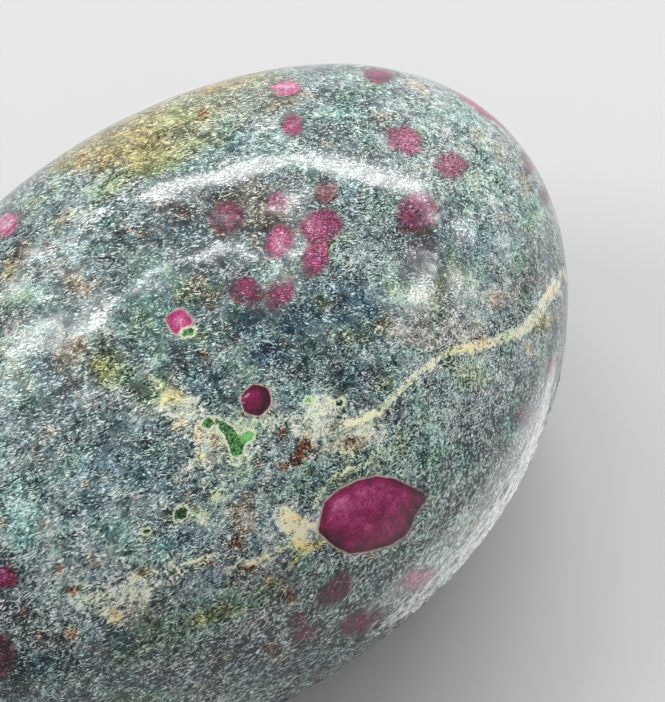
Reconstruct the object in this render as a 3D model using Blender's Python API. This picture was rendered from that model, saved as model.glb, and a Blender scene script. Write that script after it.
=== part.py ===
"""Tumbled ruby in kyanite: one solid pebble, resting on a small flat underneath.

The stone is longer than wide and wider than high. Its crown is fuller than an
ellipsoid, and a few low swells, ridges and hollows keep it from being regular.
Lengths are metres, +X runs along the stone and +Z is up.
"""

import math
from typing import NamedTuple

import bmesh
import bpy
from mathutils import Vector

MM = 0.001

OBJECT_NAME = "ruby_in_kyanite_stone"

# Half sizes of the pebble before its swells and its flat are made.
HALF_LENGTH = 20.05 * MM
HALF_WIDTH = 12.9 * MM
CROWN_HEIGHT = 10.1 * MM
KEEL_DEPTH = 9.5 * MM

# 2 would be an ellipsoid, and a larger power is fuller at the shoulders.
FULLNESS = 2.4

# The stone rests on a worn flat, cut this far above its lowest point.
FLAT_CUT = 0.55 * MM
FLAT_EDGE_ROUNDING = 0.12 * MM

# Cuts along each edge of the starting cube.
CUTS_PER_EDGE = 27

STONE_COLOUR = (0.12, 0.19, 0.24, 1.0)
STONE_ROUGHNESS = 0.35


class Swell(NamedTuple):
    """A low swell along a line on the stone, or a hollow where the rise is negative."""

    name: str
    start: tuple[float, float, float]
    end: tuple[float, float, float]
    reach: float
    rise: float


# Points and sizes of the swells, in millimetres, measured from the stone's middle.
SWELLS_MM = (
    Swell("front shoulder", (11.5, -11.4, 0.0), (9.4, -11.8, -0.6), 7.5, 0.30),
    Swell("right cheek hollow", (16.4, -6.2, 5.2), (17.2, -5.0, 5.0), 7.5, -0.40),
    Swell("right tip swell", (15.6, 3.2, 7.4), (14.6, 4.4, 7.4), 7.5, 0.25),
    Swell("back shoulder", (2.4, 11.0, 5.6), (1.0, 11.2, 5.6), 7.5, 0.12),
    Swell("back hollow", (-4.0, 12.0, 3.2), (-5.0, 12.0, 3.0), 7.5, -0.20),
    Swell("front belly", (3.6, -12.2, -3.4), (2.4, -12.3, -3.4), 7.5, 0.23),
    Swell("left belly hollow", (-9.0, -9.4, -6.0), (-8.0, -9.8, -6.0), 7.5, -0.10),
    Swell("crown ridge, back", (-2.9, 6.9, 8.9), (2.1, 5.7, 9.4), 2.0, 0.18),
    Swell("crown ridge, middle", (2.1, 5.7, 9.4), (8.7, 1.9, 9.4), 2.0, 0.18),
    Swell("crown ridge, right", (8.7, 1.9, 9.4), (11.6, -2.3, 8.7), 2.0, 0.18),
    Swell("second ridge", (-1.1, 2.9, 9.9), (3.4, 0.8, 10.0), 1.8, 0.16),
    Swell("left ridge", (-6.4, 4.9, 9.2), (-2.4, 1.8, 10.0), 2.0, 0.16),
    Swell("thumb hollow", (9.8, -4.6, 8.8), (11.4, -6.4, 7.6), 2.6, -0.22),
    Swell("underside hollow", (6.0, 2.0, -9.0), (11.0, 1.0, -8.0), 5.0, -0.25),
    Swell("underside swell", (-10.0, -2.0, -8.2), (-6.0, 4.0, -8.4), 4.5, 0.22),
    Swell("left tip facet", (-18.6, 3.0, 3.6), (-18.4, -3.0, 3.2), 6.0, -0.35),
)


def pebble_point(direction: Vector) -> Vector:
    """The point of the plain pebble that lies in a direction from its middle."""
    height = CROWN_HEIGHT if direction.z >= 0.0 else KEEL_DEPTH
    across = math.hypot(direction.x / HALF_LENGTH, direction.y / HALF_WIDTH)
    up = abs(direction.z) / height
    distance = (across**FULLNESS + up**FULLNESS) ** (-1.0 / FULLNESS)
    return direction * distance


def distance_to_line(point: Vector, start: Vector, end: Vector) -> float:
    """Distance from a point to the nearest point of a line from start to end."""
    along = end - start
    share = (point - start).dot(along) / along.length_squared
    share = min(max(share, 0.0), 1.0)
    return (point - start - along * share).length


def swell_rise(point: Vector) -> float:
    """How far all the swells together lift the stone at a point of the plain pebble."""
    rise = 0.0
    for swell in SWELLS_MM:
        start = Vector(swell.start) * MM
        end = Vector(swell.end) * MM
        away = distance_to_line(point, start, end) / (swell.reach * MM)
        rise += swell.rise * MM * math.exp(-away * away)
    return rise


def height_over_flat(height: float) -> float:
    """Height kept above the worn flat, easing into it over the edge rounding."""
    if height <= -FLAT_EDGE_ROUNDING:
        return 0.0
    if height >= FLAT_EDGE_ROUNDING:
        return height
    return (height + FLAT_EDGE_ROUNDING) ** 2 / (4.0 * FLAT_EDGE_ROUNDING)


def stone_point(corner: Vector) -> Vector:
    """Where a point of the starting cube ends up on the stone, with the flat at z = 0."""
    spread = Vector(math.tan(value * math.pi / 4.0) for value in corner)
    direction = spread.normalized()
    point = pebble_point(direction)
    point += direction * swell_rise(point)
    point.z = height_over_flat(point.z + KEEL_DEPTH - FLAT_CUT)
    return point


def centre_in_plan(mesh: bmesh.types.BMesh) -> None:
    """Move the stone so that its plan is centred on the origin."""
    for axis in (0, 1):
        values = [vertex.co[axis] for vertex in mesh.verts]
        middle = (min(values) + max(values)) / 2.0
        for vertex in mesh.verts:
            vertex.co[axis] -= middle


def stone_mesh() -> bpy.types.Mesh:
    """The closed mesh of the stone."""
    solid = bmesh.new()
    bmesh.ops.create_cube(solid, size=2.0)
    bmesh.ops.subdivide_edges(
        solid,
        edges=solid.edges[:],
        cuts=CUTS_PER_EDGE,
        use_grid_fill=True,
    )
    for vertex in solid.verts:
        vertex.co = stone_point(vertex.co)
    centre_in_plan(solid)
    bmesh.ops.triangulate(solid, faces=solid.faces[:])
    bmesh.ops.recalc_face_normals(solid, faces=solid.faces[:])
    for face in solid.faces:
        face.smooth = True
    mesh = bpy.data.meshes.new(OBJECT_NAME)
    solid.to_mesh(mesh)
    solid.free()
    return mesh


def stone_material() -> bpy.types.Material:
    """Polished blue-grey stone."""
    material = bpy.data.materials.new("stone")
    material.use_nodes = True
    surface = material.node_tree.nodes["Principled BSDF"]
    surface.inputs["Base Color"].default_value = STONE_COLOUR
    surface.inputs["Roughness"].default_value = STONE_ROUGHNESS
    surface.inputs["Metallic"].default_value = 0.0
    return material


def clear_scene() -> None:
    """Remove every object that the scene starts with."""
    for item in list(bpy.data.objects):
        bpy.data.objects.remove(item, do_unlink=True)


def build() -> None:
    """Build the stone in a collection of its own."""
    clear_scene()
    collection = bpy.data.collections.new("tumbled_ruby_in_kyanite")
    bpy.context.scene.collection.children.link(collection)
    stone = bpy.data.objects.new(OBJECT_NAME, stone_mesh())
    stone.data.materials.append(stone_material())
    collection.objects.link(stone)


build()
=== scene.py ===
"""Tumbled ruby in kyanite: the finished stone with its markings, floor, light and camera.

The stone is one pebble. Its surface is a finer copy of the CAD solid, and every crystal, vein,
stain, painted shade, painted sheen and painted glint on it is flush, so each is a mask that the
stone's one material reads.
Names that end in _mm hold millimetres and names that end in _deg hold degrees. The skin's
points, depths and masks are worked out in millimetres, and every other length is in metres.
"""

from __future__ import annotations

import logging
import math
from dataclasses import dataclass
from enum import Enum
from typing import NamedTuple

import bmesh
import bpy
import numpy as np
from mathutils import Matrix, Quaternion, Vector, noise
from mathutils.bvhtree import BVHTree


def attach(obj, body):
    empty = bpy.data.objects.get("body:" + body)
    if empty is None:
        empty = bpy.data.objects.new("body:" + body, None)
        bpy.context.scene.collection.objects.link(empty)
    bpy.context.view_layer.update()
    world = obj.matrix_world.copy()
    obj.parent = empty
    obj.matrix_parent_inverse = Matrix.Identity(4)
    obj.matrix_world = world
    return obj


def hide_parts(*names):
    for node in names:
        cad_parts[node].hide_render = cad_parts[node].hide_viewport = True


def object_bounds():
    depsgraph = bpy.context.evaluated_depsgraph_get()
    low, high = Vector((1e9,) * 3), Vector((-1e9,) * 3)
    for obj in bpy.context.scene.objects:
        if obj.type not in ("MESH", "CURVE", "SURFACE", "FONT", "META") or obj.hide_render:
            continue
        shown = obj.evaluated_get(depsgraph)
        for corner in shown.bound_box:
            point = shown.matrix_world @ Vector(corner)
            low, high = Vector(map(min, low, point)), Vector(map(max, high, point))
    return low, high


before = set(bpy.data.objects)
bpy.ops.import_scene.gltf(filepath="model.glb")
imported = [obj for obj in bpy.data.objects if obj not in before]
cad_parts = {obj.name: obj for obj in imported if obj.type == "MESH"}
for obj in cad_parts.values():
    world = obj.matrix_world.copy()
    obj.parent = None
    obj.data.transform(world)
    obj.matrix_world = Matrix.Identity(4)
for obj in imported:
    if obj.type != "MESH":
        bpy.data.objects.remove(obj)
CAD_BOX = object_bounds()

MM = 0.001
BODY = "root"
STONE_NODE = "ruby_in_kyanite_stone"

# The picture that the camera frames, in pixels.
PICTURE_WIDTH = 665
PICTURE_HEIGHT = 702

LOG = logging.getLogger("stone")

# A display colour, as red, green and blue from 0 to 255.
Tone = tuple[int, int, int]


def shade(tone: Tone) -> tuple[float, ...]:
    """A tone as shares with an alpha of one, before the finish makes it linear."""
    return (*(level / 255.0 for level in tone), 1.0)


def linked(name: str, data: bpy.types.ID) -> bpy.types.Object:
    """Make an object of some data and put it in the scene.

    Args:
        name: the object's name.
        data: its mesh, light or camera.

    Returns:
        The object.
    """
    piece = bpy.data.objects.new(name, data)
    bpy.context.scene.collection.objects.link(piece)
    return piece


def turned(along: np.ndarray, across: np.ndarray, angle: float) -> tuple[np.ndarray, np.ndarray]:
    """Turn two directions that are square to each other within their plane.

    Args:
        along: the first direction.
        across: the second direction, a quarter turn on from the first.
        angle: how far both are turned, in radians.

    Returns:
        The two turned directions.
    """
    cosine, sine = math.cos(angle), math.sin(angle)
    return along * cosine + across * sine, across * cosine - along * sine


# --------------------------------------------------------------------------------------
# Camera
# --------------------------------------------------------------------------------------


class Pixel(NamedTuple):
    """A place in the camera's picture, in pixels from its upper left corner."""

    x: float
    y: float


def pixels(*places: tuple[float, float]) -> tuple[Pixel, ...]:
    """The corners of an outline from their numbers, across and down."""
    return tuple(Pixel(across, down) for across, down in places)


@dataclass(frozen=True)
class Viewpoint:
    """The camera's place, held by the angle and the scale that it sees the stone at."""

    heading_deg: float = 43.52
    elevation_deg: float = 60.0
    distance: float = 300.0 * MM
    aim_right: float = 6.17 * MM
    aim_up: float = 2.68 * MM
    pixels_per_mm: float = 22.59
    sensor_mm: float = 36.0
    clip_near: float = 10.0 * MM
    clip_far: float = 20.0

    @property
    def forward(self) -> Vector:
        """Unit vector from the camera towards the stone.

        Returns:
            The vector.
        """
        heading = math.radians(self.heading_deg)
        drop = math.radians(self.elevation_deg)
        level = math.cos(drop)
        return Vector((math.sin(heading) * level, math.cos(heading) * level, -math.sin(drop)))

    @property
    def right(self) -> Vector:
        """Unit vector to the right in the picture."""
        heading = math.radians(self.heading_deg)
        return Vector((math.cos(heading), -math.sin(heading), 0.0))

    @property
    def up(self) -> Vector:
        """Unit vector upwards in the picture."""
        return self.right.cross(self.forward)

    @property
    def away(self) -> Vector:
        """Level unit vector away from the camera."""
        heading = math.radians(self.heading_deg)
        return Vector((math.sin(heading), math.cos(heading), 0.0))

    @property
    def focal_pixels(self) -> float:
        """Focal length in pixels of the picture."""
        return self.pixels_per_mm * self.distance / MM

    @property
    def place(self) -> Vector:
        """Where the camera stands.

        Returns:
            The place.
        """
        low, high = CAD_BOX
        middle = (Vector(low) + Vector(high)) / 2.0
        aim = middle + self.right * self.aim_right + self.up * self.aim_up
        return aim - self.forward * self.distance

    def ray(self, pixel: Pixel) -> Vector:
        """Unit vector of the sight line through a pixel.

        Args:
            pixel: the place in the picture.

        Returns:
            The vector.
        """
        across = (pixel.x - PICTURE_WIDTH / 2.0) / self.focal_pixels
        upward = (PICTURE_HEIGHT / 2.0 - pixel.y) / self.focal_pixels
        return (self.forward + self.right * across + self.up * upward).normalized()

    def build(self) -> bpy.types.Object:
        """Make the camera and use it for the scene.

        Returns:
            The camera.
        """
        data = bpy.data.cameras.new("camera")
        data.sensor_fit = "HORIZONTAL"
        data.sensor_width = self.sensor_mm
        data.lens = self.focal_pixels * self.sensor_mm / PICTURE_WIDTH
        data.clip_start = self.clip_near
        data.clip_end = self.clip_far
        camera = linked("camera", data)
        camera.location = self.place
        camera.rotation_euler = self.forward.to_track_quat("-Z", "Y").to_euler()
        bpy.context.scene.camera = camera
        return camera


VIEW = Viewpoint()


# --------------------------------------------------------------------------------------
# Markings: what is in the stone, the painted shade, sheen and glints, and where
# --------------------------------------------------------------------------------------


class Stain(Enum):
    """What spreads softly over the stone, by the attribute that holds each.

    All but the last two are colours; those say where the felt stands out and where it fades.
    The pale, dark and tan ones are partly the rock's own colour and partly painted sheen and
    painted shade, and the felt fades partly where a sheen is painted as flatter felt.
    """

    RUST = "stain_rust"
    CREAM = "stain_cream"
    OCHRE = "stain_ochre"
    GREEN = "stain_green"
    TEAL = "stain_teal"
    DARK = "stain_dark"
    VIOLET = "stain_violet"
    PALE_AND_SHEEN = "stain_pale"
    BLUE = "stain_blue"
    TAN = "stain_tan"
    BOLD = "felt_bold"
    SOFT = "felt_soft"


@dataclass(frozen=True)
class Ruby:
    """A ruby crystal cut through by the surface, with its size as it is seen."""

    name: str
    at: Pixel
    length_mm: float
    width_mm: float
    turn_deg: float = 0.0
    pink: float = 0.5
    pink_rightward: float = 0.0
    pink_upward: float = 0.0
    haze: float = 0.5
    corners: int = 0
    ragged: float = 0.12


@dataclass(frozen=True)
class Blotch:
    """A patch of soft colour, or of painted shade or sheen, with its size as it is seen."""

    stain: Stain
    at: Pixel
    length_mm: float
    width_mm: float
    turn_deg: float = 0.0
    strength: float = 1.0


@dataclass(frozen=True)
class Seam:
    """A vein or crack along a path.

    Each point of its path is a pixel across, a pixel down and the width there in millimetres.
    Its yellow goes from 0, the cream tone, to 1, the yellower vein tone. The places in beyond_mm
    are where it runs on the side that the camera doesn't see.
    """

    name: str
    points: tuple[tuple[float, float, float], ...]
    yellow: float = 0.2
    beyond_mm: tuple[tuple[float, float, float], ...] = ()


GREAT_RUBY_OUTLINE = pixels(
    (318, 531), (325, 502), (339, 490), (357, 481), (378, 476), (398, 480), (408, 485), (424, 493),
    (426, 500), (415, 515), (412, 526), (405, 536), (389, 546), (367, 551), (350, 554), (339, 549),
    (327, 540),
)
GREAT_RUBY_MIDDLE = Pixel(372, 515)

# Each ruby: its middle, its length and width in millimetres, its turn in degrees, its pinkness
# and how that grows rightwards and upwards, its haze, its corners and how ragged its edge is.
RUBIES = (
    Ruby("faceted ruby", Pixel(256, 400), 1.36, 1.26, 60, 0.20, -0.30, 0.10, 0.05, 6, 0.04),
    Ruby("pink wedge", Pixel(179, 321), 1.05, 0.94, 20, 0.78, 0.0, 0.0, 0.12, 4, 0.10),
    Ruby("rusty ruby", Pixel(227, 217), 1.45, 1.30, 15, 0.16, 0.1, 0.15, 0.34, 6),
    Ruby("small pink, top of group", Pixel(277, 203), 0.95, 0.85, 80, 0.48, 0.0, 0.1, 0.50),
    Ruby("faint ruby, top of group", Pixel(326, 192), 0.84, 0.74, 0, 1.00, 0.0, 0.0, 0.72),
    Ruby("salmon ruby", Pixel(279, 241), 1.38, 1.08, 70, 0.64, 0.05, 0.10, 0.38),
    Ruby("broad ruby", Pixel(321, 226), 1.80, 1.34, 10, 0.58, -0.25, 0.05, 0.42, 6),
    Ruby("leaning ruby", Pixel(315, 258), 1.46, 1.04, 62, 0.56, 0.1, 0.30, 0.38, 6),
    Ruby("left of the pair", Pixel(246, 291), 1.38, 1.12, -5, 0.24, 0.0, 0.32, 0.42),
    Ruby("right of the pair", Pixel(279, 293), 1.36, 0.96, 58, 0.34, 0.15, -0.05, 0.42, 6),
    Ruby("mauve ruby", Pixel(417, 213), 1.80, 1.65, 30, 0.36, 0.05, 0.12, 0.55, 5),
    Ruby("lilac ruby", Pixel(405, 140), 1.50, 1.15, -28, 0.66, 0.1, -0.10, 0.50, 6),
    Ruby("mauve ruby by the rim", Pixel(451, 166), 1.30, 1.14, -10, 0.42, -0.05, 0.1, 0.55),
    Ruby("far rim, right", Pixel(378, 75), 1.12, 0.64, -3, 0.50, 0.0, 0.1, 0.34),
    Ruby("far rim, left", Pixel(286, 88), 1.14, 0.72, 0, 1.00, -0.1, 0.0, 0.30),
    Ruby("crimson ruby", Pixel(292, 125), 0.90, 0.78, 70, 0.60, 0.0, 0.0, 0.40),
    Ruby("rim sliver", Pixel(483, 110), 3.05, 0.36, -36, 0.66, 0.0, 0.2, 0.20),
    Ruby("rim ruby", Pixel(527, 165), 0.80, 0.56, 60, 0.30, 0.0, 0.0, 0.80),
    Ruby("right rim, upper", Pixel(547, 194), 0.80, 0.40, 72, 0.30, 0.0, 0.0, 0.45),
    Ruby("left edge, upper", Pixel(6, 225), 1.10, 0.90, 20, 0.95, 0.0, 0.1, 0.38),
    Ruby("left edge, lower", Pixel(5, 577), 1.00, 0.80, -10, 0.45, 0.0, 0.1, 0.30),
    Ruby("corner ruby", Pixel(-2, 656), 1.75, 1.20, 75, 0.02, 0.0, 0.0, 0.40),
    Ruby("dark leaning ruby", Pixel(335, 590), 1.72, 0.92, 48, 0.10, 0.1, 0.1, 0.34),
    Ruby("dark ruby by the rim", Pixel(360, 622), 1.72, 0.90, 22, 0.24, -0.1, 0.1, 0.34),
    Ruby("pale ruby in the sheen", Pixel(417, 579), 1.40, 0.72, 20, 0.74, 0.0, 0.0, 0.50),
    Ruby("small low ruby", Pixel(304, 633), 1.00, 0.62, 20, 0.40, 0.4, 0.0, 0.50),
    Ruby("dark red grain", Pixel(297, 619), 0.55, 0.42, 40, 0.0, 0.0, 0.0, 0.50),
    Ruby("right rim, middle", Pixel(551, 367), 0.70, 0.40, 70, 0.40, 0.0, 0.0, 0.80),
    Ruby("rosy ghost", Pixel(524, 413), 0.70, 0.50, 60, 0.60, 0.0, 0.0, 0.92),
)

# The main vein comes from the side that the camera doesn't see. Its places there are given
# in the frame, in millimetres, and it is drawn down through them in this order. From the lowest
# it goes under the skin to the first point at the rim, so the skin shows a gap of about
# 2.6 mm between the rim and the highest of them.
MAIN_VEIN = Seam(
    "main vein",
    (
        (566, 275, 0.66), (556, 287, 0.60), (545, 302, 0.62), (537, 315, 0.62), (525, 327, 0.50),
        (508, 335, 0.44), (488, 343, 0.34), (467, 347, 0.34), (447, 353, 0.32), (426, 367, 0.30),
        (405, 385, 0.32), (390, 400, 0.34), (380, 410, 0.36), (369, 417, 0.40), (357, 421, 0.36),
        (346, 423, 0.22),
    ),
    yellow=0.14,
    beyond_mm=((18.6, -6.4, 8.2), (17.6, -7.4, 5.4), (16.4, -6.8, 2.8), (14.6, -4.8, 0.8)),
)
VEINS = (
    MAIN_VEIN,
    Seam(
        "lower strand of the main vein",
        ((520, 338, 0.06), (486, 349, 0.14), (456, 358, 0.08), (424, 378, 0.12), (400, 402, 0.06)),
        yellow=0.25,
    ),
    Seam(
        "branch round the great ruby",
        (
            (385, 430, 0.12), (378, 447, 0.18), (369, 461, 0.22), (358, 468, 0.22),
            (348, 470, 0.21), (340, 473, 0.21), (330, 481, 0.22), (323, 490, 0.23),
            (317, 499, 0.22), (314, 510, 0.17),
        ),
        yellow=0.12,
    ),
    Seam(
        "upper streak",
        (
            (288, 547, 0.16), (268, 556, 0.18), (249, 562, 0.22), (222, 555, 0.16),
            (201, 558, 0.18), (175, 567, 0.18), (148, 573, 0.14),
        ),
        yellow=0.15,
    ),
    Seam(
        "lower streak",
        ((214, 560, 0.10), (196, 568, 0.16), (180, 575, 0.18), (152, 588, 0.18), (140, 597, 0.10)),
        yellow=0.45,
    ),
    Seam(
        "yellow streak",
        ((326, 541, 0.18), (313, 548, 0.22), (302, 555, 0.20), (293, 563, 0.16), (284, 573, 0.08)),
        yellow=0.75,
    ),
    Seam(
        "cream beside the great ruby",
        ((284, 511, 0.30), (290, 522, 0.85), (297, 533, 0.80), (303, 545, 0.40)),
        yellow=0.30,
    ),
    Seam("cream arm", ((294, 520, 0.40), (307, 523, 0.30), (316, 528, 0.16)), yellow=0.10),
    Seam(
        "line beside the great ruby",
        ((424, 509, 0.10), (418, 526, 0.16), (404, 544, 0.16), (385, 554, 0.14), (362, 561, 0.08)),
        yellow=0.20,
    ),
    Seam(
        "knee line",
        ((197, 429, 0.12), (200, 440, 0.14), (204, 452, 0.14), (211, 461, 0.06)),
        yellow=0.25,
    ),
)

CRACKS = (
    Seam("crack by the far rim", ((270, 105, 0.03), (276, 111, 0.06), (283, 118, 0.03))),
    Seam("crack below it", ((299, 136, 0.03), (306, 144, 0.06), (312, 151, 0.03))),
    Seam("crack at the left", ((1, 366, 0.03), (14, 379, 0.06), (21, 388, 0.05), (30, 407, 0.02))),
    Seam("crack at the foot", ((212, 652, 0.03), (203, 664, 0.05), (189, 682, 0.03))),
)

# Painted glints: pale highlight lines on the faceted ruby's ridge and facet edge, and in the great
# ruby.
PAINTED_GLINTS = (
    Seam("ridge of the faceted ruby", ((253, 388, 0.05), (247, 396, 0.13), (243, 405, 0.09))),
    Seam("edge of its left facet", ((241, 392, 0.03), (239, 399, 0.08), (242, 405, 0.05))),
    Seam("glint in the great ruby", ((373, 520, 0.02), (379, 513, 0.06), (385, 508, 0.03))),
    Seam("glint near its top", ((374, 484, 0.03), (384, 483, 0.07), (379, 489, 0.02))),
)

MICA_BODY_OUTLINE = pixels(
    (215, 418), (226, 423), (232, 428), (240, 436), (246, 431), (255, 432), (252, 439), (246, 443),
    (243, 450), (238, 458), (232, 455), (229, 446), (224, 436), (218, 427),
)
MICA_BODY_MIDDLE = Pixel(247, 436)

# A mica is measured as a ruby is, and its pinkness is how bright it is.
MICAS = (
    Ruby("small left mica", Pixel(208, 423), 0.50, 0.42, 30, 0.35, corners=5),
    Ruby("ring mica", Pixel(189, 332), 0.56, 0.40, 25, 0.50, corners=5),
    Ruby("bright mica", Pixel(309, 400), 0.34, 0.26, 10, 0.90),
    Ruby("dark mica by the cream", Pixel(181, 513), 0.62, 0.44, 60, 0.10),
    Ruby("mica grain, low left", Pixel(146, 531), 0.34, 0.26, 0, 0.10),
    Ruby("teal mica", Pixel(340, 403), 0.36, 0.30, 40, 0.05),
)

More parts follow.
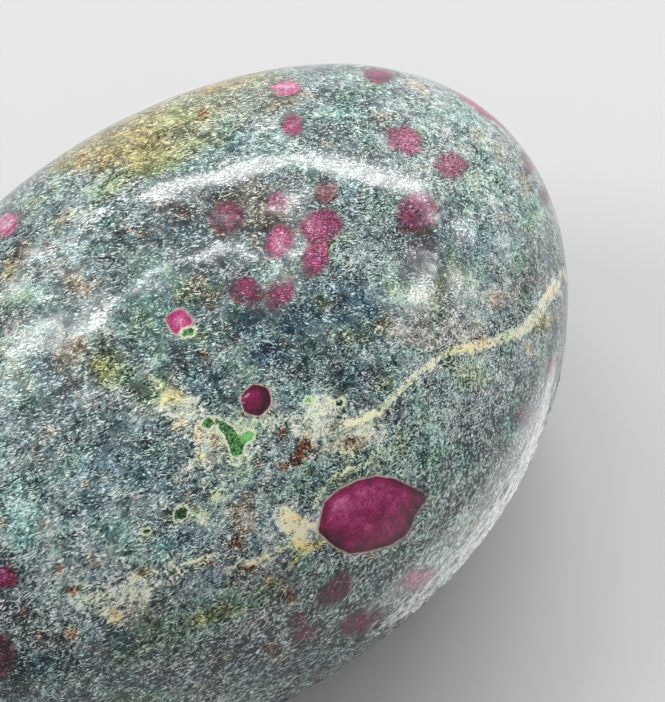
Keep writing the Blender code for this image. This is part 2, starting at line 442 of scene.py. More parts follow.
# Each row of a stain: pixel across, pixel down, length and width in millimetres as they are
# seen, turn in degrees and strength.
STAIN_ROWS: dict[Stain, tuple[tuple[float, ...], ...]] = {
    Stain.RUST: (
        (301, 453, 0.85, 0.55, 55, 1.0), (307, 445, 0.45, 0.35, 0, 0.9),
        (296, 461, 0.5, 0.35, 70, 0.9), (282, 433, 0.5, 0.34, 30, 0.9),
        (283, 466, 0.46, 0.36, 20, 0.9), (256, 466, 0.3, 0.6, 0, 0.6),
        (318, 451, 0.4, 0.24, 10, 0.6), (213, 443, 0.5, 0.28, 50, 0.7),
        (204, 354, 0.44, 0.3, 0, 0.9), (268, 492, 0.5, 0.4, 10, 0.5),
        (58, 570, 0.5, 0.36, 20, 0.8), (73, 590, 0.6, 0.4, 10, 0.9), (25, 613, 0.55, 0.4, 30, 0.7),
        (70, 633, 0.6, 0.44, 0, 0.9), (40, 635, 0.6, 0.34, 10, 0.8),
        (234, 544, 0.95, 0.26, 8, 0.9), (210, 565, 0.36, 0.26, 30, 0.9),
        (148, 541, 0.4, 0.3, 0, 0.6), (250, 569, 0.5, 0.32, 20, 0.8),
        (289, 597, 0.38, 0.7, -10, 0.95), (265, 647, 0.44, 0.34, 0, 0.7),
        (213, 653, 0.44, 0.3, 0, 0.6), (232, 583, 0.4, 0.3, 0, 0.6),
        (142, 606, 0.36, 0.26, 0, 0.5), (299, 517, 0.24, 0.24, 0, 0.9),
        (241, 415, 0.26, 0.26, 0, 0.9), (82, 157, 0.5, 0.36, 20, 0.7),
        (108, 162, 0.44, 0.32, 0, 0.6), (203, 112, 0.44, 0.32, 0, 0.7),
        (128, 230, 0.44, 0.32, 0, 0.6), (219, 229, 0.9, 0.42, -30, 0.9),
        (184, 213, 1.0, 0.7, 20, 0.45), (269, 228, 0.44, 0.3, 50, 0.6),
        (352, 443, 1.3, 0.7, 20, 0.5), (372, 556, 0.7, 0.22, 10, 0.6),
        (404, 557, 0.34, 0.24, 30, 0.7), (344, 296, 0.4, 0.3, 30, 0.5),
        (480, 388, 0.8, 0.5, 30, 0.35), (481, 443, 0.4, 0.3, 30, 0.4),
    ),
    Stain.CREAM: (
        (286, 516, 1.3, 1.1, 20, 1.0), (306, 528, 1.2, 1.0, -10, 1.0),
        (294, 541, 1.0, 0.8, 20, 1.0), (175, 403, 2.2, 1.2, -30, 0.85),
        (186, 415, 1.4, 1.2, 15, 0.9), (203, 446, 0.8, 1.9, 12, 0.9), (196, 462, 0.9, 0.7, 0, 0.8),
        (165, 388, 1.4, 0.5, -30, 0.6), (250, 425, 2.2, 0.6, 8, 0.85),
        (268, 415, 1.4, 0.8, 8, 0.7), (232, 440, 2.8, 2.6, 10, 0.6), (215, 440, 1.1, 1.6, 10, 0.7),
        (322, 408, 1.5, 1.6, 20, 0.9), (300, 424, 1.8, 1.1, 12, 0.7),
        (340, 429, 3.0, 1.3, 12, 0.95), (370, 419, 1.6, 0.9, 35, 0.85),
        (350, 445, 2.6, 1.0, 20, 0.6), (123, 590, 2.4, 0.9, 20, 0.85),
        (112, 615, 1.0, 1.2, 30, 0.7), (140, 600, 1.0, 1.4, 10, 0.6), (199, 517, 0.9, 0.6, 0, 0.8),
        (215, 492, 1.6, 0.7, -40, 0.7), (556, 288, 0.9, 1.3, 50, 0.5),
        (250, 561, 1.8, 0.5, 15, 0.7), (272, 552, 1.6, 0.7, 25, 0.6),
        (180, 565, 2.4, 0.5, 10, 0.55), (90, 600, 1.6, 1.4, 20, 0.5),
        (320, 500, 0.5, 1.6, -20, 0.6),
    ),
    Stain.OCHRE: (
        (534, 332, 2.0, 2.6, -30, 0.3), (95, 345, 2.4, 4.0, 0, 0.35),
        (150, 390, 3.0, 2.4, 20, 0.4), (250, 92, 5.0, 4.0, 12, 0.4), (470, 368, 2.4, 1.6, 20, 0.3),
        (190, 112, 2.8, 1.3, 15, 0.4), (145, 161, 1.6, 1.2, 20, 0.5), (60, 165, 1.6, 0.8, 30, 0.4),
        (297, 542, 0.9, 0.45, 20, 0.5), (199, 456, 0.5, 0.4, 0, 0.6), (175, 398, 1.2, 0.8, 0, 0.5),
        (115, 618, 0.9, 0.8, 20, 0.6), (200, 618, 1.8, 1.1, 20, 0.45),
        (295, 560, 1.2, 0.5, 40, 0.6), (545, 322, 1.0, 0.6, 45, 0.6),
        (335, 240, 0.9, 0.6, -20, 0.35), (295, 256, 0.8, 0.5, -20, 0.35),
        (132, 128, 4.4, 3.4, 35, 0.95), (85, 150, 3.0, 2.0, 35, 0.75),
        (165, 160, 3.4, 1.4, 20, 0.6), (190, 140, 2.6, 1.4, 20, 0.2), (215, 84, 4.4, 1.0, 13, 0.8),
        (200, 125, 2.4, 1.8, 0, 0.25), (143, 572, 1.4, 0.6, 20, 0.6),
        (310, 545, 1.4, 0.6, 20, 0.7), (10, 272, 1.0, 1.2, 0, 0.5), (60, 225, 3.2, 0.9, 30, 0.35),
        (470, 345, 3.2, 0.7, 12, 0.4), (105, 370, 1.2, 1.2, 0, 0.4), (110, 190, 2.0, 1.0, 25, 0.4),
        (230, 610, 3.0, 0.9, 15, 0.4),
    ),
    # The tan rows are partly tan-grey rock and partly the painted warm grey of sheen, at the left
    # edge and right of the middle.
    Stain.TAN: (
        (10, 305, 2.4, 6.0, 0, 0.6), (435, 305, 4.0, 2.4, 10, 0.6), (455, 345, 3.4, 2.0, 10, 0.6),
        (136, 612, 2.6, 1.8, 0, 0.7), (255, 590, 3.0, 3.4, 0, 0.4), (95, 300, 2.0, 2.0, 0, 0.3),
        (165, 205, 1.6, 1.1, 0, 0.7), (120, 225, 1.0, 0.8, 0, 0.5), (60, 265, 2.6, 1.0, 35, 0.5),
        (75, 290, 2.0, 0.8, 30, 0.4), (62, 345, 2.0, 1.0, 0, 0.5), (430, 332, 2.8, 1.2, 10, 0.8),
        (525, 285, 2.0, 1.2, 45, 0.8), (495, 300, 1.4, 1.0, 0, 0.5), (250, 500, 0.9, 0.9, 0, 0.6),
        (265, 480, 1.0, 1.0, 0, 0.5), (250, 568, 2.4, 0.8, 15, 0.6), (255, 625, 1.6, 0.9, 0, 0.6),
        (290, 593, 1.0, 1.4, 0, 0.5), (105, 157, 1.6, 0.8, 30, 0.6), (480, 385, 1.2, 1.6, 0, 0.5),
        (550, 350, 0.8, 1.6, -10, 0.4), (200, 370, 1.2, 2.2, 0, 0.4), (375, 378, 1.4, 1.6, 0, 0.6),
        (440, 280, 3.0, 1.4, 0, 0.5), (340, 450, 2.4, 1.4, 0, 0.5), (90, 560, 2.6, 1.0, 10, 0.4),
        (60, 640, 3.0, 1.0, 0, 0.5), (200, 655, 2.2, 0.8, 0, 0.4),
    ),
    Stain.GREEN: (
        (232, 130, 2.4, 1.2, 20, 0.4), (520, 262, 1.8, 1.6, 20, 0.4),
        (150, 625, 1.8, 1.1, 20, 0.5), (440, 420, 1.6, 1.0, 40, 0.35),
        (352, 235, 0.7, 0.5, 0, 0.5), (133, 150, 2.0, 1.2, 20, 0.4), (112, 368, 1.9, 1.7, 0, 1.0),
        (180, 282, 1.2, 1.4, 0, 0.6), (188, 300, 1.0, 1.0, 0, 0.6), (240, 470, 1.6, 1.6, 0, 0.6),
        (235, 438, 2.4, 1.6, 0, 0.6), (185, 513, 2.4, 0.7, 0, 0.8), (215, 498, 1.2, 0.8, 0, 0.6),
        (230, 608, 4.6, 1.6, 15, 0.4), (170, 640, 2.6, 2.0, 30, 0.5), (270, 587, 1.6, 1.2, 0, 0.5),
        (463, 190, 0.9, 0.7, 0, 0.4), (335, 400, 1.4, 0.8, 0, 0.5), (125, 660, 2.2, 1.4, 0, 0.5),
        (95, 595, 2.0, 1.4, 0, 0.4), (100, 188, 2.6, 1.6, 25, 0.5), (535, 218, 1.4, 2.0, -10, 0.6),
    ),
    Stain.TEAL: (
        (355, 330, 3.4, 2.0, 0, 0.6), (175, 300, 1.6, 3.0, 0, 0.5), (255, 350, 1.6, 1.6, 0, 0.3),
        (24, 540, 1.0, 0.8, 0, 0.9), (160, 550, 1.2, 1.7, -20, 0.7),
        (250, 476, 1.1, 1.0, 30, 0.55), (322, 300, 1.4, 0.7, 30, 0.5),
        (435, 458, 1.3, 0.6, 40, 0.7), (206, 475, 1.8, 1.1, 20, 0.35),
        (415, 482, 1.3, 0.7, 30, 0.5), (22, 512, 2.4, 2.6, 0, 0.8), (180, 165, 3.0, 0.9, 12, 0.6),
        (80, 250, 2.2, 1.2, 30, 0.5), (30, 292, 2.4, 1.6, 0, 0.5), (145, 300, 1.8, 2.4, 0, 0.5),
        (210, 292, 1.2, 1.8, 0, 0.5), (300, 395, 3.0, 1.2, 0, 0.6), (430, 440, 2.6, 1.6, 40, 0.6),
        (130, 432, 2.0, 1.0, 0, 0.4), (120, 530, 2.0, 1.0, 0, 0.6), (480, 150, 2.6, 1.6, -35, 0.5),
        (455, 115, 2.2, 1.4, -30, 0.5), (350, 110, 2.0, 1.6, 0, 0.6),
        (508, 185, 2.0, 1.4, -50, 0.4), (530, 212, 1.4, 2.2, -10, 0.7),
    ),
    Stain.BLUE: (
        (330, 300, 4.6, 2.6, 10, 0.5), (360, 305, 1.8, 1.6, 0, 0.6), (245, 325, 1.6, 1.4, 0, 0.8),
        (295, 325, 2.2, 1.6, 0, 0.6), (268, 354, 1.6, 1.3, 0, 0.9), (205, 382, 1.8, 1.8, 0, 0.7),
        (358, 375, 2.0, 1.6, 0, 0.6), (240, 140, 1.8, 1.0, 10, 0.7), (190, 233, 1.8, 1.0, 0, 0.5),
        (255, 200, 1.2, 1.6, 0, 0.4), (355, 190, 2.2, 1.4, 0, 0.5), (330, 110, 3.6, 2.4, 0, 0.3),
        (445, 225, 2.0, 1.8, 0, 0.5), (483, 240, 2.2, 2.0, 0, 0.6), (40, 375, 3.0, 2.2, 20, 0.5),
        (75, 412, 2.4, 1.4, 0, 0.4), (105, 470, 4.4, 2.4, 10, 0.6), (165, 478, 1.8, 2.0, 0, 0.5),
        (90, 515, 2.6, 1.4, 0, 0.5), (182, 540, 2.8, 1.0, 8, 0.7), (510, 420, 1.8, 1.4, 45, 0.7),
        (465, 455, 2.4, 1.2, 40, 0.6), (315, 655, 2.0, 1.2, 0, 0.7), (40, 665, 3.0, 1.2, 0, 0.7),
        (260, 665, 2.4, 1.2, 0, 0.6), (210, 580, 1.4, 1.6, 0, 0.5), (372, 590, 2.0, 1.6, 0, 0.4),
        (418, 560, 1.6, 1.0, 30, 0.5),
    ),
    Stain.VIOLET: (
        (234, 291, 0.9, 0.9, 0, 0.6), (497, 402, 1.2, 0.9, 40, 0.35), (6, 560, 1.0, 0.8, 0, 0.7),
        # The row at (421, 250) is painted shade in the dimple below the mauve ruby.
        (18, 215, 1.4, 0.5, 15, 0.7), (421, 250, 1.2, 1.2, 0, 0.8), (240, 272, 1.0, 0.8, 0, 0.6),
        (10, 605, 2.0, 1.2, 0, 0.6), (8, 575, 1.2, 1.0, 0, 0.5), (405, 132, 1.2, 1.0, 0, 0.5),
    ),
    # The dark rows are partly darker rock and partly painted shade, as in the shaded dimple below
    # the mauve ruby; several darken the stone towards its bottom.
    Stain.DARK: (
        (421, 252, 1.8, 2.2, 0, 1.0), (440, 240, 2.0, 2.6, 0, 0.5), (527, 288, 0.6, 1.3, 20, 0.6),
        (300, 364, 2.6, 0.6, 5, 0.8), (365, 375, 2.4, 0.8, 10, 0.7), (246, 325, 0.5, 0.7, 0, 0.8),
        (475, 452, 1.6, 0.9, 40, 0.6), (350, 575, 2.6, 0.9, 30, 0.5),
        (170, 470, 2.6, 1.4, 20, 0.4), (235, 560, 3.2, 1.2, 20, 0.3),
        (130, 640, 2.4, 1.0, 15, 0.45), (15, 600, 1.6, 3.4, 0, 0.55), (320, 362, 4.0, 1.6, 4, 0.5),
        (330, 620, 6.0, 3.0, 20, 0.35), (250, 655, 6.0, 1.6, 10, 0.45),
        (222, 217, 2.0, 1.8, 0, 0.8), (180, 500, 2.0, 1.4, 0, 0.5), (135, 250, 2.4, 1.2, 25, 0.4),
        (215, 248, 2.4, 1.2, 0, 0.5), (30, 660, 4.0, 1.4, 0, 0.7), (95, 445, 2.0, 1.5, 0, 0.5),
        (268, 354, 1.6, 1.2, 0, 0.6), (245, 322, 1.4, 1.2, 0, 0.5), (112, 366, 2.0, 1.6, 0, 0.8),
        (150, 445, 2.2, 1.6, 20, 0.4), (225, 395, 2.6, 1.6, 10, 0.4), (285, 440, 1.2, 1.0, 0, 0.4),
        (360, 305, 2.6, 2.0, 0, 0.35), (297, 210, 3.0, 1.6, 0, 0.95),
        (310, 655, 6.0, 2.6, 15, 0.6), (338, 655, 4.0, 5.0, 25, 0.9),
        (385, 605, 4.0, 3.0, 42, 0.4), (136, 614, 2.4, 2.0, 10, 0.6), (8, 628, 3.0, 5.0, 0, 1.0),
        (175, 372, 2.4, 2.0, 0, 0.5), (275, 335, 4.0, 1.8, 0, 0.4), (452, 228, 2.0, 2.0, 0, 0.8),
        (454, 280, 1.6, 1.2, 0, 0.7), (50, 376, 3.0, 1.6, 0, 0.4), (215, 210, 3.4, 2.4, 0, 0.95),
        (215, 252, 3.0, 1.6, 0, 0.6), (213, 292, 2.4, 1.8, 0, 0.5), (216, 332, 2.4, 1.8, 0, 0.5),
        (455, 252, 2.6, 1.8, 0, 0.5), (378, 410, 2.0, 1.4, 0, 0.5), (216, 450, 2.2, 1.4, 0, 0.6),
        (136, 450, 2.2, 1.4, 0, 0.45),
    ),
    # The pale rows are partly paler rock and vein and partly painted sheen, along the highlights
    # at the left edge, by the upper rim and right of the middle.
    Stain.PALE_AND_SHEEN: (
        (206, 505, 2.2, 1.6, 30, 0.35), (356, 300, 2.2, 2.2, 0, 0.2),
        (520, 90, 4.0, 1.6, -35, 0.35), (330, 80, 5.0, 1.2, 0, 0.45),
        (255, 270, 3.6, 1.4, 10, 0.35), (455, 395, 3.2, 1.4, 35, 0.25),
        (30, 300, 3.6, 2.2, 30, 0.35), (95, 600, 4.6, 2.8, 10, 0.7), (70, 510, 9.0, 6.0, 0, 0.45),
        (250, 125, 4.0, 3.0, 10, 0.6), (480, 190, 4.0, 4.0, -40, 0.7),
        (480, 265, 3.6, 2.6, 0, 0.6), (425, 410, 4.0, 4.4, 40, 0.55), (300, 425, 2.6, 1.6, 0, 0.5),
        (25, 610, 3.0, 2.4, 0, 0.5), (210, 430, 3.0, 3.0, 0, 0.1), (535, 215, 2.2, 5.0, -10, 0.8),
        (475, 320, 4.0, 2.4, 20, 0.6), (450, 372, 3.6, 2.0, 30, 0.6), (385, 445, 2.4, 1.6, 0, 0.5),
        (255, 455, 2.0, 1.6, 0, 0.5), (35, 618, 4.0, 2.4, 0, 0.7), (400, 295, 2.6, 1.0, 0, 0.5),
        (95, 390, 2.6, 2.0, 0, 0.4), (400, 115, 7.0, 3.0, -12, 0.35), (170, 420, 3.0, 2.6, 0, 0.3),
        (290, 525, 1.6, 1.2, 0, 0.9), (30, 515, 2.6, 3.0, 0, 0.8), (500, 140, 3.0, 2.4, -40, 0.4),
        (40, 560, 3.6, 1.6, 0, 0.5), (85, 335, 3.2, 2.0, 30, 0.5), (80, 195, 4.0, 2.6, 25, 0.45),
        (345, 232, 2.0, 3.0, 0, 0.6), (505, 195, 2.4, 4.4, -30, 0.55),
        (455, 312, 4.6, 2.4, 15, 0.5), (410, 335, 2.6, 1.8, 20, 0.4),
        (415, 450, 3.0, 2.0, 30, 0.7), (315, 458, 2.4, 1.2, 0, 0.45),
        (492, 398, 2.6, 2.6, 35, 0.6), (532, 335, 1.6, 2.6, -20, 0.7),
        (135, 575, 3.0, 1.8, 15, 0.6), (90, 612, 3.0, 1.8, 10, 0.4), (215, 528, 5.0, 1.6, 10, 0.5),
        (235, 492, 3.0, 1.8, 10, 0.4), (175, 452, 2.0, 1.8, 0, 0.45),
        (330, 172, 6.0, 1.6, 0, 0.35), (548, 300, 1.2, 3.2, -35, 0.9),
        (350, 450, 2.4, 1.2, 0, 0.4), (495, 525, 2.0, 3.0, -35, 0.4), (295, 530, 1.6, 1.2, 0, 0.6),
        (440, 132, 5.0, 4.0, -30, 0.7), (485, 172, 5.0, 4.0, -40, 0.7),
        (445, 205, 4.0, 2.0, -20, 0.5), (138, 212, 2.4, 1.6, 0, 0.5), (255, 372, 2.0, 1.6, 0, 0.6),
        (135, 372, 2.4, 1.6, 0, 0.45), (138, 408, 2.0, 1.4, 0, 0.4), (475, 372, 3.0, 2.2, 20, 0.5),
        (400, 492, 3.4, 1.6, 45, 0.5), (435, 530, 3.0, 3.0, 45, 0.5), (75, 530, 4.0, 2.0, 0, 0.35),
        (75, 610, 3.0, 2.0, 0, 0.4), (335, 572, 2.4, 1.6, 30, 0.5), (470, 290, 3.4, 2.0, 10, 0.4),
        (60, 450, 3.0, 2.0, 0, 0.35), (8, 345, 3.4, 12.0, 0, 0.6), (8, 450, 3.0, 3.0, 0, 0.5),
        (450, 95, 5.0, 4.0, -35, 0.5), (165, 118, 4.0, 3.0, 20, 0.15),
        (500, 175, 4.0, 4.0, -40, 0.4), (170, 568, 5.0, 2.0, 15, 0.3),
        (95, 612, 3.0, 2.0, 0, 0.35), (270, 530, 3.0, 1.6, 10, 0.35),
        (250, 452, 2.2, 1.6, 0, 0.35), (175, 456, 2.2, 1.8, 0, 0.3),
        (492, 398, 4.0, 4.0, 40, 0.35), (55, 292, 3.6, 2.0, 30, 0.4), (340, 235, 2.4, 3.6, 0, 0.4),
        (542, 308, 1.4, 3.2, -40, 0.9), (386, 294, 1.6, 1.8, 20, 0.4),
        (430, 312, 3.4, 1.4, 15, 0.9), (412, 322, 1.6, 1.0, 15, 0.6), (384, 276, 1.2, 1.0, 0, 0.5),
        (322, 408, 1.8, 1.8, 0, 0.6), (100, 200, 5.0, 2.0, 25, 0.25),
        (460, 210, 4.0, 3.0, -20, 0.3), (60, 610, 4.0, 2.4, 0, 0.3), (480, 362, 4.0, 2.0, 20, 0.3),
    ),
    Stain.BOLD: (
        (430, 560, 18.0, 9.0, 45, 1.0), (300, 190, 20.0, 6.0, 8, 0.4),
        (250, 650, 9.0, 4.0, 15, 0.6),
    ),
    # The soft rows flatten the felt; most lie where highlights are and stand in for their haze as
    # painted sheen.
    Stain.SOFT: (
        (50, 290, 5.0, 4.0, 30, 0.7), (455, 272, 5.0, 3.0, 15, 0.7), (215, 252, 3.0, 2.0, 10, 0.7),
        (425, 302, 4.0, 2.2, 15, 0.8), (100, 470, 11.0, 6.0, 10, 0.3),
        (60, 380, 5.0, 4.0, 20, 0.4),
    ),
}
BLOTCHES = tuple(
    Blotch(stain, Pixel(across, down), *sizes)
    for stain, rows in STAIN_ROWS.items()
    for across, down, *sizes in rows
)

# How often each stain is drawn for the sides that the camera doesn't see.
HIDDEN_STAINS = {
    Stain.RUST: 0.24, Stain.CREAM: 0.12, Stain.OCHRE: 0.11, Stain.GREEN: 0.12, Stain.TEAL: 0.10,
    Stain.DARK: 0.07, Stain.VIOLET: 0.03, Stain.PALE_AND_SHEEN: 0.05, Stain.BLUE: 0.09, Stain.TAN: 0.07,
}
# How often each length of ruby, in millimetres, is drawn for them.
HIDDEN_RUBY_LENGTHS = {0.6: 0.15, 0.9: 0.2, 1.2: 0.25, 1.5: 0.2, 1.8: 0.15, 2.6: 0.05}
# The place of a marking on those sides, which no pixel shows.
UNSEEN = Pixel(0, 0)
# The fibres lie more and more one way from this place towards the left, lower and right rims.
FELT_MIDDLE = Pixel(330, 420)
# The depth of every point well outside a marking.
OUTSIDE_MM = -1.0


# --------------------------------------------------------------------------------------
# The stone's skin
# --------------------------------------------------------------------------------------


def smooth_step(low: float, high: float, values: np.ndarray) -> np.ndarray:
    """Ease values from 0 at low to 1 at high.

    Args:
        low: where the result is 0.
        high: where the result is 1.
        values: the values to ease.

    Returns:
        The eased values.
    """
    share = np.clip((values - low) / (high - low), 0.0, 1.0)
    return share * share * (3.0 - 2.0 * share)


def noise_at(places: np.ndarray, wavelength_mm: float, offset: float) -> np.ndarray:
    """Smooth noise from about -1 to 1 at many places.

    Args:
        places: the places, in millimetres, one to a row.
        wavelength_mm: size of the noise's bumps.
        offset: moves the pattern, so that each use has its own.

    Returns:
        One value for each place.
    """
    shift = Vector((offset, offset * 1.7, offset * 2.3))
    values = [noise.noise(Vector(place) / wavelength_mm + shift) for place in places]
    return np.array(values)


def points_of(mesh: bpy.types.Mesh) -> tuple[np.ndarray, np.ndarray]:
    """Read a mesh's points and the way that the surface faces there.

    Args:
        mesh: the mesh.

    Returns:
        The points in millimetres and the unit normals, one to a row.
    """
    places = np.empty(len(mesh.vertices) * 3)
    normals = np.empty(len(mesh.vertices) * 3)
    mesh.vertices.foreach_get("co", places)
    mesh.vertices.foreach_get("normal", normals)
    return places.reshape(-1, 3) / MM, normals.reshape(-1, 3)


@dataclass(frozen=True)
class Spot:
    """A place on the stone with the two directions that a marking is measured along."""

    place: np.ndarray
    along: np.ndarray
    across: np.ndarray


@dataclass
class StoneSkin:
    """The stone's surface: the CAD solid made finer, with the low relief of tumbling."""

    name: str = "stone"
    merge_distance: float = 0.001 * MM
    join_angle: float = 0.7
    finer_levels: int = 2
    resting_mm: float = 0.02
    inset_mm: float = 0.035
    wobble_mm: float = 0.020
    wobble_wavelength_mm: float = 1.3
    grain_mm: float = 0.006
    grain_wavelength_mm: float = 0.5
    rough_edge_mm: float = 0.075

    def coarse_mesh(self) -> bpy.types.Mesh:
        """Copy the CAD solid's mesh with its doubles merged and its quads rejoined.

        Returns:
            The copy.
        """
        mesh = bpy.data.meshes.new(self.name + "_coarse")
        solid = bmesh.new()
        solid.from_mesh(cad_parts[STONE_NODE].data)
        bmesh.ops.remove_doubles(solid, verts=solid.verts[:], dist=self.merge_distance)
        bmesh.ops.join_triangles(
            solid,
            faces=solid.faces[:],
            angle_face_threshold=self.join_angle,
            angle_shape_threshold=self.join_angle,
        )
        solid.to_mesh(mesh)
        solid.free()
        return mesh

    def fine_mesh(self, coarse: bpy.types.Mesh) -> bpy.types.Mesh:
        """Subdivide the coarse mesh smoothly.

        Args:
            coarse: the rejoined copy of the CAD solid.

        Returns:
            The finer mesh.
        """
        piece = linked(self.name + "_working", coarse)
        finer = piece.modifiers.new("finer", "SUBSURF")
        finer.levels = self.finer_levels
        finer.render_levels = self.finer_levels
        bpy.context.view_layer.update()
        dressed = piece.evaluated_get(bpy.context.evaluated_depsgraph_get())
        mesh = bpy.data.meshes.new_from_object(dressed)
        bpy.data.objects.remove(piece)
        mesh.name = self.name
        return mesh

    def relief_mm(self, places: np.ndarray, normals: np.ndarray) -> np.ndarray:
        """How far the surface stands in or out at each place.

        Args:
            places: points of the surface, in millimetres.
            normals: outward unit vectors at those points.

        Returns:
            The height of the relief, never above zero by more than the inset.
        """
        wobble = noise_at(places, self.wobble_wavelength_mm, offset=3.1) * self.wobble_mm
        grain = noise_at(places, self.grain_wavelength_mm, offset=7.7) * self.grain_mm
        # Only the lower right rim is rough: it faces down and to the right of the picture.
        sideways = normals @ np.array(VIEW.right - VIEW.up)
        rough = smooth_step(0.7, 1.2, sideways) * smooth_step(0.25, -0.15, normals[:, 2])
        ragged = noise_at(places * (1.0, 1.0, 1.6), 0.55, offset=11.3)
        ragged += 0.6 * noise_at(places, 0.27, offset=15.1)
        edge = rough * (ragged - 0.4) * self.rough_edge_mm
        return np.minimum(wobble + grain + edge, self.inset_mm) - self.inset_mm

    def build(self) -> bpy.types.Object:
        """Make the stone's object, in place of the CAD solid.

        Returns:
            The stone.
        """
        mesh = self.fine_mesh(self.coarse_mesh())
        places, normals = points_of(mesh)
        rise = self.relief_mm(places, normals)
        rise[places[:, 2] < self.resting_mm] = 0.0
        places += normals * rise[:, None]
        mesh.vertices.foreach_set("co", (places * MM).ravel())
        mesh.shade_smooth()
        mesh.update()
        return linked(self.name, mesh)


@dataclass
class Markings:
    """Works out each marking's mask over the skin and keeps it as attributes of the mesh."""

    piece: bpy.types.Object
    nearing_steps: int = 12
    edge_noise_mm: float = 0.09
    widest_outline_mm: float = 8.0
    patch_ragged_mm: float = 0.1
    blotch_ragged_mm: float = 0.12
    seed: int = 20
    hidden_rubies_wanted: int = 46
    hidden_blotches_wanted: int = 150
    hidden_gap_mm: float = 1.6
    # The unseen part faces away from the camera by this much, or is left of this line.
    turned_away: float = -0.10
    far_end_mm: float = -15.5
    nearly_up: tuple[float, float, float] = (0.3, -0.2, 0.93)

    def __post_init__(self) -> None:
        """Read the skin's points and set up the sight lines."""
        mesh = self.piece.data
        self.count = len(mesh.vertices)
        self.places, self.normals = points_of(mesh)
        self.right = np.array(VIEW.right)
        self.up = np.array(VIEW.up)
        self.forward = np.array(VIEW.forward)
        self.tree = BVHTree.FromPolygons(
            [vertex.co for vertex in mesh.vertices],
            [polygon.vertices for polygon in mesh.polygons],
        )
        self.frays = [
            noise_at(self.places, 0.55, offset) + 0.5 * noise_at(self.places, 0.24, offset + 4.0)
            for offset in (21.0, 31.0)
        ]
        self.layers: dict[str, np.ndarray] = {}

    def place_of(self, pixel: Pixel) -> np.ndarray:
        """Find the point of the stone that a pixel of the view shows.

        Args:
            pixel: the place in the picture. Beside the stone, the nearest point is taken.

        Returns:
            The point, in millimetres.
        """
        origin = VIEW.place
        direction = VIEW.ray(pixel)
        hit, _, _, _ = self.tree.ray_cast(origin, direction)
        if hit is None:
            nearest = origin - direction * origin.dot(direction)
            for _ in range(self.nearing_steps):
                hit, _, _, _ = self.tree.find_nearest(nearest)
                nearest = origin + direction * (hit - origin).dot(direction)
        return np.array(hit) / MM

    def seen_spot(self, pixel: Pixel, turn_deg: float) -> Spot:
        """The spot under a pixel, measured along the picture's own directions, turned.

        Args:
            pixel: the middle of the marking in the picture.
            turn_deg: how far its length is turned from rightwards, anticlockwise.

        Returns:
            The spot.
        """
        return Spot(self.place_of(pixel), *turned(self.right, self.up, math.radians(turn_deg)))

    def offsets(self, spot: Spot, ragged_mm: float) -> tuple[np.ndarray, np.ndarray, np.ndarray]:
        """Coordinates of all points from a spot.

        Args:
            spot: the spot that they are measured from.
            ragged_mm: how far noise moves them, so that an edge is uneven.

        Returns:
            The coordinates along and across the spot, and the full distances.
        """
        away = self.places - spot.place
        along = away @ spot.along + self.frays[0] * ragged_mm
        across = away @ spot.across + self.frays[1] * ragged_mm
        return along, across, np.linalg.norm(away, axis=1)

    def oval_depth(self, spot: Spot, ruby: Ruby) -> np.ndarray:
        """How deep inside a crystal's outline each point is.

        Args:
            spot: the crystal's middle.
            ruby: its size and shape.

        Returns:
            The depth in millimetres, negative outside.
        """
        along, across, away = self.offsets(spot, ruby.ragged * 0.8)
        x = along / (ruby.length_mm / 2.0)
        y = across / (ruby.width_mm / 2.0)
        reach = np.hypot(x, y)
        if ruby.corners:
            # A crystal with corners is between an oval and a shape with straight sides.
            turns = np.arange(ruby.corners) * 2.0 * math.pi / ruby.corners + 0.3
            sides = [x * math.cos(turn) + y * math.sin(turn) for turn in turns]
            reach = 0.35 * reach + 0.70 * np.max(sides, axis=0)
        depth = (1.0 - reach) * min(ruby.length_mm, ruby.width_mm) / 2.0
        depth[away > 2.5 + ruby.length_mm] = OUTSIDE_MM
        return np.maximum(depth, OUTSIDE_MM)

    def outline_depth(self, outline: tuple[Pixel, ...], ragged_mm: float) -> np.ndarray:
        """How deep inside a drawn outline each point is.

        Args:
            outline: the outline's corners in the picture.
            ragged_mm: how far noise moves its edge.

        Returns:
            The depth in millimetres, negative outside.
        """
        corners = [self.place_of(pixel) for pixel in outline]
        middle = np.mean(corners, axis=0)
        spot = Spot(middle, self.right, self.up)
        x, y, away = self.offsets(spot, ragged_mm)
        sides = [corner - middle for corner in corners]
        flat = [(side @ self.right, side @ self.up) for side in sides]
        nearest = np.full(self.count, np.inf)
        inside = np.zeros(self.count, dtype=bool)
        for (x0, y0), (x1, y1) in zip(flat, flat[1:] + flat[:1]):
            dx, dy = x1 - x0, y1 - y0
            share = np.clip(((x - x0) * dx + (y - y0) * dy) / (dx * dx + dy * dy), 0.0, 1.0)
            nearest = np.minimum(nearest, np.hypot(x - x0 - share * dx, y - y0 - share * dy))
            crossed = (y0 > y) != (y1 > y)
            level = x0 + (y - y0) * dx / (dy if abs(dy) > 1e-9 else 1e-9)
            inside ^= crossed & (x < level)
        depth = np.where(inside, nearest, -nearest)
        depth[away > self.widest_outline_mm] = OUTSIDE_MM
        return np.maximum(depth, OUTSIDE_MM)

